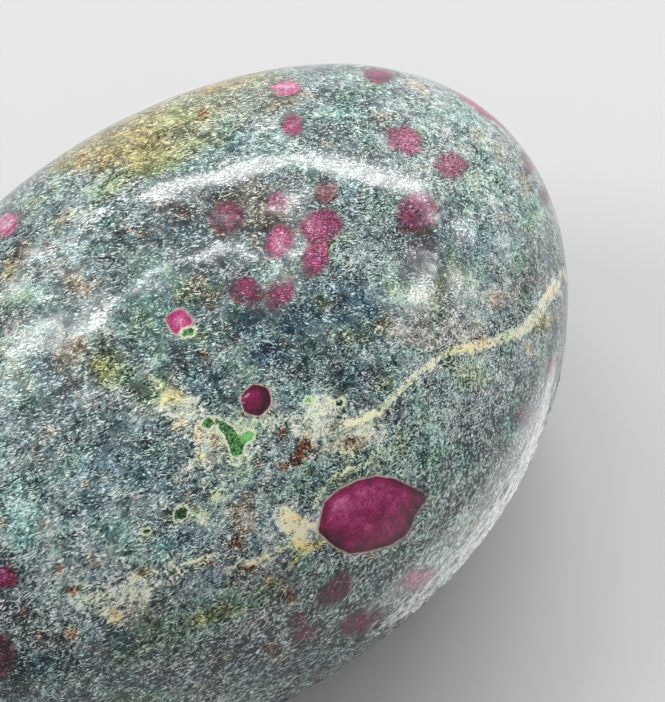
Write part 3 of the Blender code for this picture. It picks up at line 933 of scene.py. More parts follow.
    def seam_depth(self, seam: Seam) -> np.ndarray:
        """How deep inside a vein each point is.

        Args:
            seam: the vein, with its path and its widths.

        Returns:
            The depth in millimetres, negative outside.
        """
        corners = [self.place_of(Pixel(across, down)) for across, down, _ in seam.points]
        widths = [width for _, _, width in seam.points]
        for extra in reversed(seam.beyond_mm):
            hit, _, _, _ = self.tree.find_nearest(Vector(extra) * MM)
            corners.insert(0, np.array(hit) / MM)
            widths.insert(0, widths[0])
        path, spans = rounded_path(np.array(corners), np.array(widths))
        depth = np.full(self.count, OUTSIDE_MM)
        places = self.places.copy()
        sway = np.stack([self.frays[0], self.frays[1], self.frays[0] - self.frays[1]], axis=1)
        places += sway * self.edge_noise_mm
        low, high = path.min(axis=0) - 1.0, path.max(axis=0) + 1.0
        near = np.nonzero(np.all((places > low) & (places < high), axis=1))[0]
        points = places[near]
        for start, end, wide, next_wide in zip(path, path[1:], spans, spans[1:]):
            step = end - start
            share = np.clip((points - start) @ step / (step @ step), 0.0, 1.0)
            gap = np.linalg.norm(points - start - share[:, None] * step, axis=1)
            width = wide + (next_wide - wide) * share
            depth[near] = np.maximum(depth[near], width / 2.0 - gap)
        return depth

    def add_rubies(self) -> None:
        """Keep the depth, colour and haze of the ruby nearest to each point."""
        depth = self.outline_depth(GREAT_RUBY_OUTLINE, ragged_mm=0.035)
        # The great ruby grows pinker upwards and leftwards, and hazy at its right end. It is dark
        # in one oval patch, 2.1 mm left of its middle and 1 mm below it.
        x, y, _ = self.offsets(self.seen_spot(GREAT_RUBY_MIDDLE, 0.0), self.patch_ragged_mm)
        pink = 0.47 + 0.09 * y - 0.08 * x - 0.10 * smooth_step(0.9, 2.2, x)
        pink -= 0.42 * np.exp(-((x + 2.1) ** 2 / 0.9 + (y + 1.0) ** 2 / 0.35))
        haze = 0.04 + 0.16 * smooth_step(1.0, 2.4, x)
        seen = [(ruby, self.seen_spot(ruby.at, ruby.turn_deg)) for ruby in RUBIES]
        for ruby, spot in seen + self.hidden_rubies():
            depth, pink, haze = self.merge_ruby(ruby, spot, depth, pink, haze)
        self.layers["ruby_depth"] = depth
        self.layers["ruby_pink"] = np.clip(pink, -0.3, 1.0)
        self.layers["ruby_haze"] = haze

    def merge_ruby(
        self, ruby: Ruby, spot: Spot, depth: np.ndarray, pink: np.ndarray, haze: np.ndarray
    ) -> tuple[np.ndarray, np.ndarray, np.ndarray]:
        """Add one ruby to the fields.

        Args:
            ruby: the crystal.
            spot: where it is.
            depth: the deepest outline so far at each point.
            pink: the colour that goes with it.
            haze: the haze that goes with it.

        Returns:
            The three fields with this ruby in them.
        """
        own = self.oval_depth(spot, ruby)
        away = self.places - spot.place
        rightward = away @ self.right / (ruby.length_mm / 2.0)
        upward = away @ self.up / (ruby.length_mm / 2.0)
        tone = ruby.pink + ruby.pink_rightward * rightward + ruby.pink_upward * upward
        nearer = own > depth
        return (
            np.where(nearer, own, depth),
            np.where(nearer, tone, pink),
            np.where(nearer, ruby.haze, haze),
        )

    def hidden_places(self, count: int, rng: np.random.Generator) -> list[int]:
        """Pick points spread over the part of the stone that the camera doesn't see.

        Args:
            count: how many points.
            rng: the seeded source of numbers.

        Returns:
            The points' indices.
        """
        facing = self.normals @ -self.forward
        right = self.places @ self.right
        unseen = np.nonzero((facing < self.turned_away) | (right < self.far_end_mm))[0]
        chosen: list[int] = []
        for index in rng.permutation(unseen):
            gaps = [np.linalg.norm(self.places[index] - self.places[other]) for other in chosen]
            if not gaps or min(gaps) > self.hidden_gap_mm:
                chosen.append(int(index))
            if len(chosen) == count:
                break
        return chosen

    def hidden_spot(self, index: int, turn: float) -> Spot:
        """A spot flat on the surface at one of its points.

        Args:
            index: the point.
            turn: how far its length is turned, in radians.

        Returns:
            The spot.
        """
        normal = self.normals[index]
        level = np.cross(normal, self.nearly_up)
        level /= np.linalg.norm(level)
        return Spot(self.places[index], *turned(level, np.cross(normal, level), turn))

    def hidden_rubies(self) -> list[tuple[Ruby, Spot]]:
        """Rubies for the sides that the camera doesn't see, like the ones that it does.

        Returns:
            Each ruby with its spot.
        """
        rng = np.random.default_rng(self.seed)
        lengths_mm, shares = list(HIDDEN_RUBY_LENGTHS), list(HIDDEN_RUBY_LENGTHS.values())
        rubies = []
        for number, index in enumerate(self.hidden_places(self.hidden_rubies_wanted, rng)):
            length_mm = float(rng.choice(lengths_mm, p=shares))
            ruby = Ruby(
                f"hidden ruby {number}",
                UNSEEN,
                length_mm,
                width_mm=length_mm * float(rng.uniform(0.6, 0.95)),
                pink=float(rng.uniform(0.15, 0.75)),
                pink_rightward=float(rng.uniform(-0.3, 0.3)),
                pink_upward=float(rng.uniform(-0.3, 0.3)),
                haze=float(rng.uniform(0.1, 0.6)),
                corners=int(rng.choice((0, 5, 6))),
            )
            rubies.append((ruby, self.hidden_spot(index, float(rng.uniform(0.0, math.pi)))))
        return rubies

    def add_micas(self) -> None:
        """Keep the depth and brightness of the green mica nearest to each point."""
        depth = self.outline_depth(MICA_BODY_OUTLINE, ragged_mm=0.05)
        x, y, _ = self.offsets(self.seen_spot(MICA_BODY_MIDDLE, 0.0), self.patch_ragged_mm)
        bright = 0.40 + 0.70 * np.exp(-((x / 0.35) ** 2 + (y / 0.32) ** 2))
        for mica in MICAS:
            spot = self.seen_spot(mica.at, mica.turn_deg)
            own = self.oval_depth(spot, mica)
            nearer = own > depth
            bright = np.where(nearer, mica.pink, bright)
            depth = np.where(nearer, own, depth)
        self.layers["mica_depth"] = depth
        self.layers["mica_bright"] = bright

    def add_seams(self) -> None:
        """Keep the depth of the veins, of the cracks and of the painted glints."""
        depth = np.full(self.count, OUTSIDE_MM)
        yellow = np.full(self.count, 0.2)
        for vein in VEINS:
            own = self.seam_depth(vein)
            yellow = np.where(own > depth, vein.yellow, yellow)
            depth = np.maximum(depth, own)
        self.layers["vein_depth"] = depth
        self.layers["vein_yellow"] = yellow
        for layer, seams in (("crack_depth", CRACKS), ("glint_depth", PAINTED_GLINTS)):
            self.layers[layer] = np.max([self.seam_depth(seam) for seam in seams], axis=0)

    def add_stains(self) -> None:
        """Keep how much of each soft colour, painted shade and painted sheen there is."""
        for stain in Stain:
            self.layers[stain.value] = np.zeros(self.count)
        for blotch in BLOTCHES:
            self.add_blotch(blotch, self.seen_spot(blotch.at, blotch.turn_deg))
        rng = np.random.default_rng(self.seed + 1)
        stains, shares = list(HIDDEN_STAINS), list(HIDDEN_STAINS.values())
        for index in self.hidden_places(self.hidden_blotches_wanted, rng):
            stain = rng.choice(stains, p=shares)
            shortest_mm, longest_mm = (0.4, 0.9) if stain is Stain.RUST else (0.9, 3.2)
            length_mm = float(rng.uniform(shortest_mm, longest_mm))
            blotch = Blotch(
                stain,
                UNSEEN,
                length_mm,
                width_mm=length_mm * float(rng.uniform(0.45, 0.9)),
                strength=float(rng.uniform(0.4, 0.9)),
            )
            self.add_blotch(blotch, self.hidden_spot(index, float(rng.uniform(0.0, math.pi))))

    def add_blotch(self, blotch: Blotch, spot: Spot) -> None:
        """Add one patch of soft colour, painted shade or painted sheen to its stain's field.

        Args:
            blotch: the patch.
            spot: where it is.
        """
        along, across, away = self.offsets(spot, self.blotch_ragged_mm)
        length_mm = blotch.length_mm
        reach = np.hypot(along / (length_mm / 2.0), across / (blotch.width_mm / 2.0))
        amount = blotch.strength * np.exp(-0.9 * reach**2.5)
        # Its shape goes right through the stone, so it fades away from its middle.
        amount *= 1.0 - smooth_step(0.5 + 0.7 * length_mm, 1.6 + 1.1 * length_mm, away)
        layer = self.layers[blotch.stain.value]
        self.layers[blotch.stain.value] = 1.0 - (1.0 - layer) * (1.0 - amount)

    def add_lie(self) -> None:
        """Keep how strongly the kyanite's fibres lie one way, and how far that way turns."""
        away = self.places - self.place_of(FELT_MIDDLE)
        # Every distance here is in millimetres from that place, along the picture.
        uneven = noise_at(self.places, 3.0, offset=41.0)
        towards_rim = away @ (self.right * 0.75 - self.up * 0.66)
        lower = smooth_step(0.0, 9.0, -(away @ self.up) - 2.0)
        leftward = smooth_step(1.0, 8.0, -(away @ self.right))
        lie = smooth_step(-3.0, 6.0, towards_rim + 1.5 * uneven)
        lie = np.maximum(lie, 0.80 * lower)
        lie = np.maximum(lie, 0.50 + 0.20 * leftward + 0.15 * uneven)
        self.layers["fibre_lie"] = np.clip(lie, 0.0, 1.0)
        self.layers["fibre_turn"] = 0.25 * smooth_step(0.0, 8.5, away @ self.right)

    def build(self) -> None:
        """Work out every mask and store it on the mesh."""
        self.add_rubies()
        self.add_micas()
        self.add_seams()
        self.add_stains()
        self.add_lie()
        for name, values in self.layers.items():
            attribute = self.piece.data.attributes.new(name, "FLOAT", "POINT")
            attribute.data.foreach_set("value", values.astype(np.float32))


def rounded_path(corners: np.ndarray, widths: np.ndarray) -> tuple[np.ndarray, np.ndarray]:
    """Round a path off with a curve through its corners.

    Args:
        corners: the path's corners, one to a row.
        widths: the width at each corner.

    Returns:
        A finer path and the width at each of its points.
    """
    steps = 5
    padded = np.concatenate([corners[:1], corners, corners[-1:]])
    fine = []
    spans = []
    for index in range(len(corners) - 1):
        before, start, end, after = padded[index : index + 4]
        for step in range(steps):
            t = step / steps
            curve = 2.0 * start + (end - before) * t
            curve += (2.0 * before - 5.0 * start + 4.0 * end - after) * t * t
            curve += (3.0 * start - before - 3.0 * end + after) * t * t * t
            fine.append(curve / 2.0)
            spans.append(widths[index] + (widths[index + 1] - widths[index]) * t)
    fine.append(corners[-1])
    spans.append(widths[-1])
    return np.array(fine), np.array(spans)


# --------------------------------------------------------------------------------------
# Shader nodes
# --------------------------------------------------------------------------------------

Socket = bpy.types.NodeSocket
Input = Socket | float | tuple[float, ...]
NUMBER = "NodeSocketFloat"
VECTOR = "NodeSocketVector"


class Blend(Enum):
    """How one colour is laid over another."""

    MIX = "MIX"
    LIGHTEN = "LIGHTEN"
    LINEAR_LIGHT = "LINEAR_LIGHT"


# The middle of the colours that a noise gives.
HALVES = (0.5, 0.5, 0.5)
DISPLAY_GAMMA = 2.2


class NodeBench:
    """Places nodes in one tree and joins them."""

    def __init__(self, tree: bpy.types.NodeTree) -> None:
        """Take a tree to work in."""
        self.tree = tree
        self.placed = 0

    def node(self, kind: str, **settings: object) -> bpy.types.Node:
        """Add a node.

        Args:
            kind: the node's type name.
            settings: properties to set on it.

        Returns:
            The node.
        """
        node = self.tree.nodes.new(kind)
        node.location = (200.0 * (self.placed // 6), -260.0 * (self.placed % 6))
        self.placed += 1
        for name, value in settings.items():
            setattr(node, name, value)
        return node

    def feed(self, socket: Socket, value: Input) -> None:
        """Link or set an input.

        Args:
            socket: the input.
            value: another node's output, or a constant.
        """
        if isinstance(value, Socket):
            self.tree.links.new(value, socket)
        else:
            socket.default_value = value

    def maths(
        self, operation: str, first: Input, second: Input = 0.0, clamp: bool = False
    ) -> Socket:
        """A Math node.

        Args:
            operation: what it does.
            first: its first value.
            second: its second value.
            clamp: whether the result is kept from 0 to 1.

        Returns:
            The result.
        """
        node = self.node("ShaderNodeMath", operation=operation, use_clamp=clamp)
        self.feed(node.inputs[0], first)
        self.feed(node.inputs[1], second)
        return node.outputs[0]

    def centred(self, share: Input) -> Socket:
        """A share moved to lie about zero."""
        return self.maths("SUBTRACT", share, 0.5)

    def vector(self, operation: str, first: Input, second: Input) -> Socket:
        """A Vector Math node.

        Args:
            operation: what it does.
            first: its first vector.
            second: its second vector, or the factor of a SCALE.

        Returns:
            The resulting vector.
        """
        node = self.node("ShaderNodeVectorMath", operation=operation)
        self.feed(node.inputs[0], first)
        self.feed(node.inputs["Scale" if operation == "SCALE" else 1], second)
        return node.outputs[0]

    def total(self, start: float, *parts: tuple[Input, float]) -> Input:
        """Add up weighted values.

        Args:
            start: the number the sum starts from.
            parts: each value and its weight.

        Returns:
            The sum.
        """
        level: Input = start
        for value, weight in parts:
            node = self.node("ShaderNodeMath", operation="MULTIPLY_ADD")
            for socket, given in zip(node.inputs, (value, weight, level)):
                self.feed(socket, given)
            level = node.outputs[0]
        return level

    def spread(
        self, value: Input, low: Input, high: Input, bottom: Input = 0.0, top: Input = 1.0
    ) -> Socket:
        """Ease a value from one range into another.

        Args:
            value: the value.
            low: where the result is bottom.
            high: where the result is top.
            bottom: the result at low.
            top: the result at high.

        Returns:
            The result.
        """
        node = self.node("ShaderNodeMapRange", interpolation_type="SMOOTHSTEP")
        for socket, given in zip(node.inputs, (value, low, high, bottom, top)):
            self.feed(socket, given)
        return node.outputs["Result"]

    def blend(self, share: Input, first: Input, second: Input, how: Blend = Blend.MIX) -> Socket:
        """Mix two colours.

        Args:
            share: how much of the second is used.
            first: the colour below.
            second: the colour above.
            how: how the second is laid over the first.

        Returns:
            The mixed colour.
        """
        node = self.node("ShaderNodeMix", data_type="RGBA", blend_type=how.value)
        self.feed(node.inputs["Factor"], share)
        self.feed(node.inputs["A"], first)
        self.feed(node.inputs["B"], second)
        return node.outputs["Result"]

    def noise(
        self, place: Input, scale: float, detail: float, roughness: float, output: str = "Fac"
    ) -> Socket:
        """A Noise Texture node.

        Args:
            place: its vector.
            scale: its scale.
            detail: its detail.
            roughness: its roughness.
            output: which of its outputs is used.

        Returns:
            That output.
        """
        node = self.node("ShaderNodeTexNoise", noise_dimensions="3D")
        self.feed(node.inputs["Vector"], place)
        node.inputs["Scale"].default_value = scale
        node.inputs["Detail"].default_value = detail
        node.inputs["Roughness"].default_value = roughness
        return node.outputs[output]

    def shifted(self, place: Input, move: Input, amount: float) -> Socket:
        """Move a vector by a noise colour.

        Args:
            place: the vector.
            move: the noise colour.
            amount: how far it moves, at most.

        Returns:
            The moved vector.
        """
        centred = self.vector("SUBTRACT", move, HALVES)
        return self.vector("ADD", place, self.vector("SCALE", centred, amount))

    def ramp(self, value: Input, *stops: tuple[float, tuple[float, ...]]) -> Socket:
        """A Color Ramp node.

        Args:
            value: its factor.
            stops: the position and colour of each stop.

        Returns:
            The colour.
        """
        node = self.node("ShaderNodeValToRGB")
        elements = node.color_ramp.elements
        for index, (position, colour) in enumerate(stops):
            stop = elements[index] if index < 2 else elements.new(position)
            stop.position = position
            stop.color = colour
        self.feed(node.inputs["Fac"], value)
        return node.outputs["Color"]

    def kept(self, layer: str) -> Socket:
        """One of the masks kept on the mesh.

        Args:
            layer: the attribute's name.

        Returns:
            Its value.
        """
        node = self.node("ShaderNodeAttribute", attribute_type="GEOMETRY", attribute_name=layer)
        return node.outputs["Fac"]


class EffectGroup:
    """A shader node group with named sockets, built once."""

    name: str
    takes: dict[str, str]
    gives: dict[str, str]

    def tree(self) -> bpy.types.NodeTree:
        """The group's tree, built the first time it is asked for.

        Returns:
            The tree.
        """
        known = bpy.data.node_groups.get(self.name)
        if known:
            return known
        tree = bpy.data.node_groups.new(self.name, "ShaderNodeTree")
        for label, kind in self.takes.items():
            tree.interface.new_socket(label, in_out="INPUT", socket_type=kind)
        for label, kind in self.gives.items():
            tree.interface.new_socket(label, in_out="OUTPUT", socket_type=kind)
        bench = NodeBench(tree)
        source = bench.node("NodeGroupInput")
        results = self.wire(bench, source.outputs)
        sink = bench.node("NodeGroupOutput")
        for label, value in results.items():
            bench.feed(sink.inputs[label], value)
        return tree

    def wire(self, bench: NodeBench, given: bpy.types.NodeOutputs) -> dict[str, Socket]:
        """Build the group's inside.

        Args:
            bench: where its nodes are placed.
            given: the group's inputs.

        Returns:
            What feeds each of the group's outputs.
        """
        raise NotImplementedError

    def place(self, bench: NodeBench, **values: Input) -> bpy.types.NodeOutputs:
        """Use the group in another tree.

        Args:
            bench: where it is placed.
            values: its inputs, by their names.

        Returns:
            The outputs of the placed group.
        """
        node = bench.node("ShaderNodeGroup")
        node.node_tree = self.tree()
        for label, value in values.items():
            bench.feed(node.inputs[label], value)
        return node.outputs


def fibre_frame(turned_deg: float) -> tuple[float, float, float]:
    """Euler angles of the axes whose X lies along the fibres and whose Z faces the camera.

    Args:
        turned_deg: angle of the fibres, counterclockwise from the view's right.

    Returns:
        The angles.
    """
    angle = math.radians(turned_deg)
    along = VIEW.right * math.cos(angle) + VIEW.up * math.sin(angle)
    facing = -VIEW.forward
    return tuple(Matrix((along, facing.cross(along), facing)).transposed().to_euler())


class FeltEffect(EffectGroup):
    """Fine kyanite fibres, felted in every direction or all lying one way."""

    name = "kyanite felt"
    takes = {"Place": VECTOR, "Lie": NUMBER, "Turn": NUMBER}
    gives = dict.fromkeys(("Fleck", "Thread", "Blade", "Grain", "Contrast", "Clump"), NUMBER)
    lie_deg = 38.0
    # The blades turn over this many radians where they are felted, and where they all lie.
    widest_spread = 3.0
    narrowest_spread = 0.6
    # They lean out of the surface less than they turn within it.
    lean = (0.4, 0.4, 1.0)
    # The fibres are drawn out along the first axis.
    stretch = (0.18, 1.0, 1.0)

    def wire(self, bench: NodeBench, given: bpy.types.NodeOutputs) -> dict[str, Socket]:
        """Build the felt from warped noise and the lying fibres from stretched noise.

        Args:
            bench: where its nodes are placed.
            given: the group's inputs.

        Returns:
            What feeds each of the group's outputs.
        """
        place = given["Place"]
        lie = given["Lie"]
        swirl = bench.noise(place, scale=1.6, detail=2.0, roughness=0.6, output="Color")
        lying = bench.node("ShaderNodeMapping", vector_type="TEXTURE")
        lying.inputs["Rotation"].default_value = fibre_frame(self.lie_deg)
        bench.feed(lying.inputs["Vector"], bench.shifted(place, swirl, 0.25))
        along = lying.outputs[0]
        spread = bench.spread(lie, 0.0, 1.0, bottom=self.widest_spread, top=self.narrowest_spread)
        coarse, blade = self.bundles(bench, along, spread, given["Turn"], scale=1.8, fibres=13.0)
        fine, _ = self.bundles(bench, along, spread, given["Turn"], scale=4.6, fibres=23.0)
        fleck = bench.total(0.5, (coarse, 0.45), (fine, 1.00))
        patch = bench.noise(place, scale=0.55, detail=2.0, roughness=0.6)
        return {
            "Fleck": fleck,
            "Thread": bench.spread(fleck, 0.60, 0.72),
            "Blade": blade,
            "Grain": bench.noise(place, scale=3.0, detail=3.0, roughness=0.7),
            "Contrast": bench.spread(patch, 0.38, 0.60, bottom=0.70, top=1.15),
            "Clump": bench.noise(place, scale=0.8, detail=4.0, roughness=0.65),
        }

    def bundles(
        self,
        bench: NodeBench,
        place: Socket,
        spread: Socket,
        turn: Socket,
        scale: float,
        fibres: float,
    ) -> tuple[Socket, Socket]:
        """Small blades, each with its own straight fibres turned its own way.

        Args:
            bench: where its nodes are placed.
            place: the vector, with the main lie of the fibres along its first axis.
            spread: the range that the blades turn over, in radians.
            turn: how far the main lie turns here, counterclockwise as it is seen, in radians.
            scale: blades to a millimetre.
            fibres: the scale of the fibres across a blade.

        Returns:
            The fibres' level about zero, weak in the calm blades, and each blade's own level.
        """
        cells = bench.node("ShaderNodeTexVoronoi", feature="F1")
        bench.feed(cells.inputs["Vector"], place)
        cells.inputs["Scale"].default_value = scale
        shares = bench.node("ShaderNodeSeparateXYZ")
        bench.feed(shares.inputs[0], cells.outputs["Color"])
        centred = bench.vector("SUBTRACT", cells.outputs["Color"], HALVES)
        angles = bench.vector("SCALE", bench.vector("MULTIPLY", centred, self.lean), spread)
        main = bench.node("ShaderNodeCombineXYZ")
        bench.feed(main.inputs["Z"], bench.maths("MULTIPLY", turn, -1.0))
        rotated = bench.node("ShaderNodeVectorRotate", rotation_type="EULER_XYZ")
        bench.feed(rotated.inputs["Vector"], place)
        bench.feed(rotated.inputs["Center"], cells.outputs["Position"])
        bench.feed(rotated.inputs["Rotation"], bench.vector("ADD", angles, main.outputs[0]))
        squeezed = bench.vector("MULTIPLY", rotated.outputs[0], self.stretch)
        level = bench.noise(squeezed, scale=fibres, detail=1.0, roughness=0.5)
        strength = bench.spread(shares.outputs["Z"], 0.1, 0.8, bottom=0.4, top=1.25)
        return bench.maths("MULTIPLY", bench.centred(level), strength), shares.outputs["Y"]


class FrayedEdgeEffect(EffectGroup):
    """Turns a depth inside an outline into a mask with a fine, uneven edge."""

    name = "frayed edge"
    takes = dict.fromkeys(("Depth", "Fray", "Reach", "Softness"), NUMBER)
    gives = {"Mask": NUMBER}

    def wire(self, bench: NodeBench, given: bpy.types.NodeOutputs) -> dict[str, Socket]:
        """Build the mask.

        Args:
            bench: where its nodes are placed.
            given: the group's inputs.

        Returns:
            What feeds the group's output.
        """
        moved = bench.maths("MULTIPLY", bench.centred(given["Fray"]), given["Reach"])
        depth = bench.maths("ADD", given["Depth"], moved)
        low = bench.maths("MULTIPLY", given["Softness"], -1.0)
        return {"Mask": bench.spread(depth, low, given["Softness"])}

    def mask(
        self, bench: NodeBench, depth: Socket, fray: Socket, reach: Input, softness: Input
    ) -> Socket:
        """Use the group for one outline.

        Args:
            bench: where it is placed.
            depth: the depth inside the outline.
            fray: fine noise.
            reach: how far the fray moves the edge, in millimetres.
            softness: half the edge's width, in millimetres.

        Returns:
            The mask.
        """
        return self.place(bench, Depth=depth, Fray=fray, Reach=reach, Softness=softness)["Mask"]


class StainEffect(EffectGroup):
    """Breaks a soft patch up into grains, denser where there is more of it."""

    name = "grainy stain"
    takes = dict.fromkeys(("Amount", "Grain", "Break"), NUMBER)
    gives = {"Mask": NUMBER}

    def wire(self, bench: NodeBench, given: bpy.types.NodeOutputs) -> dict[str, Socket]:
        """Build the mask.

        Args:
            bench: where its nodes are placed.
            given: the group's inputs.

        Returns:
            What feeds the group's output.
        """
        broken = bench.maths("MULTIPLY", bench.centred(given["Grain"]), given["Break"])
        level = bench.maths("ADD", given["Amount"], broken)
        solid = bench.spread(level, 0.15, 0.85)
        present = bench.spread(given["Amount"], 0.0, 0.18)
        return {"Mask": bench.maths("MULTIPLY", solid, present, clamp=True)}


FRAYED = FrayedEdgeEffect()


@dataclass(frozen=True)
class RockColours:
    """The display colours of the stone."""

    deep: Tone = (17, 26, 30)
    dusk: Tone = (73, 84, 86)
    middle: Tone = (117, 129, 128)
    light: Tone = (176, 187, 183)
    fleck: Tone = (240, 247, 239)
    blue_hue: Tone = (105, 126, 131)
    teal_hue: Tone = (101, 130, 128)
    green_hue: Tone = (112, 132, 115)
    tan_hue: Tone = (129, 126, 113)
    blue: Tone = (93, 122, 135)
    green: Tone = (111, 130, 98)
    teal: Tone = (91, 133, 127)
    rust: Tone = (138, 86, 54)
    tan: Tone = (131, 122, 114)
    cream: Tone = (130, 132, 114)
    ochre: Tone = (135, 123, 72)
    violet: Tone = (127, 112, 130)
    vein: Tone = (131, 126, 98)
    ruby_dark: Tone = (54, 0, 31)
    ruby: Tone = (130, 5, 72)
    ruby_pink: Tone = (184, 62, 120)
    ruby_pale: Tone = (232, 158, 188)
    ruby_rim: Tone = (216, 190, 172)
    ruby_brown: Tone = (120, 76, 66)
    ruby_glint: Tone = (226, 196, 206)
    mica_dark: Tone = (10, 44, 24)
    mica: Tone = (82, 134, 74)
    mica_bright: Tone = (124, 200, 112)
    mica_rim: Tone = (228, 232, 204)
    crack: Tone = (84, 30, 24)
    darkest: Tone = (4, 6, 6)

    def cast(self, tone: Tone) -> tuple[float, ...]:
        """The blend colour that moves the middle tone's hue to another tone's by linear light.

        Args:
            tone: the other tone.

        Returns:
            The blend colour.
        """
        return (*(0.5 + (own - base) / 510.0 for own, base in zip(tone, self.middle)), 1.0)


@dataclass(frozen=True)
class StoneFinish:
    """Satin-polished ruby in kyanite."""

    name: str = "satin_ruby_in_kyanite"
    colours: RockColours = RockColours()
    ior: float = 1.6
    roughness: float = 0.085
    rougher_between: float = 0.11
    smoother_on_flecks: float = 0.035
    fibre_relief: float = 0.0012 * MM

    def build(self) -> bpy.types.Material:
        """Make the material.

        Returns:
            The material.
        """
        material = bpy.data.materials.new(self.name)
        material.use_nodes = True
        bench = NodeBench(material.node_tree)
        surface = material.node_tree.nodes["Principled BSDF"]
        where = bench.node("ShaderNodeTexCoord").outputs["Object"]
        place = bench.vector("SCALE", where, 1.0 / MM)
        felt = FeltEffect().place(
            bench, Place=place, Lie=bench.kept("fibre_lie"), Turn=bench.kept("fibre_turn")
        )
        fray = bench.noise(place, scale=7.5, detail=2.0, roughness=0.6)
        colour = self.rock(bench, felt, fray, place)
        colour = self.with_rubies(bench, colour, felt, fray, place)
        # Painted glints: pale pink highlight lines on the rubies.
        ridge_glint = FRAYED.mask(bench, bench.kept("glint_depth"), fray, reach=0.08, softness=0.04)
        glint_share = bench.maths("MULTIPLY", ridge_glint, 0.75)
        colour = bench.blend(glint_share, colour, shade(self.colours.ruby_glint))
        colour = self.with_micas(bench, colour, fray, felt["Fleck"])
        cracked = FRAYED.mask(bench, bench.kept("crack_depth"), fray, reach=0.05, softness=0.03)
        colour = bench.blend(cracked, colour, shade(self.colours.crack))
        linear = bench.node("ShaderNodeGamma")
        lightened = bench.blend(1.0, colour, shade(self.colours.darkest), Blend.LIGHTEN)
        bench.feed(linear.inputs["Color"], lightened)
        linear.inputs["Gamma"].default_value = DISPLAY_GAMMA
        bench.feed(surface.inputs["Base Color"], linear.outputs[0])
        between = self.roughness + self.rougher_between
        on_flecks = self.roughness - self.smoother_on_flecks
        rough = bench.spread(felt["Fleck"], 0.38, 0.62, bottom=between, top=on_flecks)
        bench.feed(surface.inputs["Roughness"], rough)
        surface.inputs["IOR"].default_value = self.ior
        height = bench.maths("ADD", felt["Fleck"], bench.maths("MULTIPLY", felt["Thread"], 0.35))
        bump = bench.node("ShaderNodeBump")
        bump.inputs["Strength"].default_value = 1.0
        bump.inputs["Distance"].default_value = self.fibre_relief
        bench.feed(bump.inputs["Height"], height)
        bench.feed(surface.inputs["Normal"], bump.outputs["Normal"])
        return material

    def rock(
        self, bench: NodeBench, felt: bpy.types.NodeOutputs, fray: Socket, place: Socket
    ) -> Socket:
        """The kyanite's colour from its felt, with its stains, veins, painted shade and painted
        sheen.

        Args:
            bench: where nodes are placed.
            felt: the felt's masks.
            fray: fine noise.
            place: the vector.

        Returns:
            The colour.
        """
        tones = self.colours
        # Each stain: its tone, what breaks it up and how far, its lift and its cover.
        stains = (
            (Stain.BLUE, tones.blue, felt["Grain"], 0.5, -0.05, 0.7),
            (Stain.TEAL, tones.teal, felt["Grain"], 0.5, 0.02, 0.7),
            (Stain.GREEN, tones.green, felt["Grain"], 0.7, 0.02, 0.7),
            # The tan tone is partly tan-grey rock and partly painted sheen.
            (Stain.TAN, tones.tan, felt["Grain"], 0.7, 0.02, 0.7),
            (Stain.VIOLET, tones.violet, felt["Grain"], 0.7, -0.06, 0.8),
            (Stain.OCHRE, tones.ochre, felt["Grain"], 0.5, 0.05, 0.95),
            (Stain.CREAM, tones.cream, felt["Grain"], 2.2, 0.31, 0.85),
            (Stain.RUST, tones.rust, fray, 2.2, -0.24, 0.95),
        )
        casts = []
        lifts = []
        for stain, tone, grain, breaking, lift, cover in stains:
            amount = bench.kept(stain.value)
            mask = StainEffect().place(bench, Amount=amount, Grain=grain, Break=breaking)["Mask"]
            casts.append((bench.maths("MULTIPLY", mask, cover), tones.cast(tone)))
            lifts.append((mask, lift))
        vein_depth = bench.kept("vein_depth")
        vein = FRAYED.mask(bench, vein_depth, felt["Fleck"], reach=0.08, softness=0.045)
        yellow = bench.kept("vein_yellow")
        casts.append((vein, bench.blend(yellow, tones.cast(tones.cream), tones.cast(tones.vein))))
        lifts.append((vein, 0.46))
        rise = bench.centred(felt["Fleck"])
        fine = bench.total(
            -0.055,
            (bench.maths("MAXIMUM", rise, 0.0), 2.7),
            (bench.maths("MINIMUM", rise, 0.0), 1.3),
            (bench.centred(felt["Grain"]), 1.0),
            (felt["Thread"], 0.26),
            (bench.centred(felt["Blade"]), 0.12),
        )
        crisp = bench.total(
            0.0,
            (felt["Contrast"], 1.0),
            # The felt is crisper on pale patches, partly painted sheen, and flatter where a sheen
            # is painted as softer felt.
            (bench.kept("stain_pale"), 0.40),
            (bench.kept("felt_bold"), 0.85),
            (bench.kept("felt_soft"), -0.50),
            (vein, 0.70),
        )
        level = bench.total(
            0.42,
            (bench.maths("MULTIPLY", fine, crisp), 1.0),
            (bench.centred(felt["Clump"]), 0.9),
            # Pale and dark patches lift and lower the tone: partly the rock's own, partly painted
            # sheen and painted shade.
            (bench.kept("stain_pale"), 0.20),
            (bench.kept("stain_dark"), -0.20),
            *lifts,
        )
        colour = bench.ramp(
            level,
            (0.06, shade(tones.deep)),
            (0.28, shade(tones.dusk)),
            (0.48, shade(tones.middle)),
            (0.68, shade(tones.light)),
            (0.98, shade(tones.fleck)),
        )
        hue = bench.noise(place, scale=0.45, detail=3.0, roughness=0.6)
        cast = bench.ramp(
            hue,
            (0.32, tones.cast(tones.green_hue)),
            (0.42, tones.cast(tones.teal_hue)),
            (0.50, tones.cast(tones.middle)),
            (0.57, tones.cast(tones.blue_hue)),
            (0.68, tones.cast(tones.tan_hue)),
        )
        colour = bench.blend(1.0, colour, cast, Blend.LINEAR_LIGHT)
        for share, cast in casts:
            colour = bench.blend(share, colour, cast, Blend.LINEAR_LIGHT)
        return colour

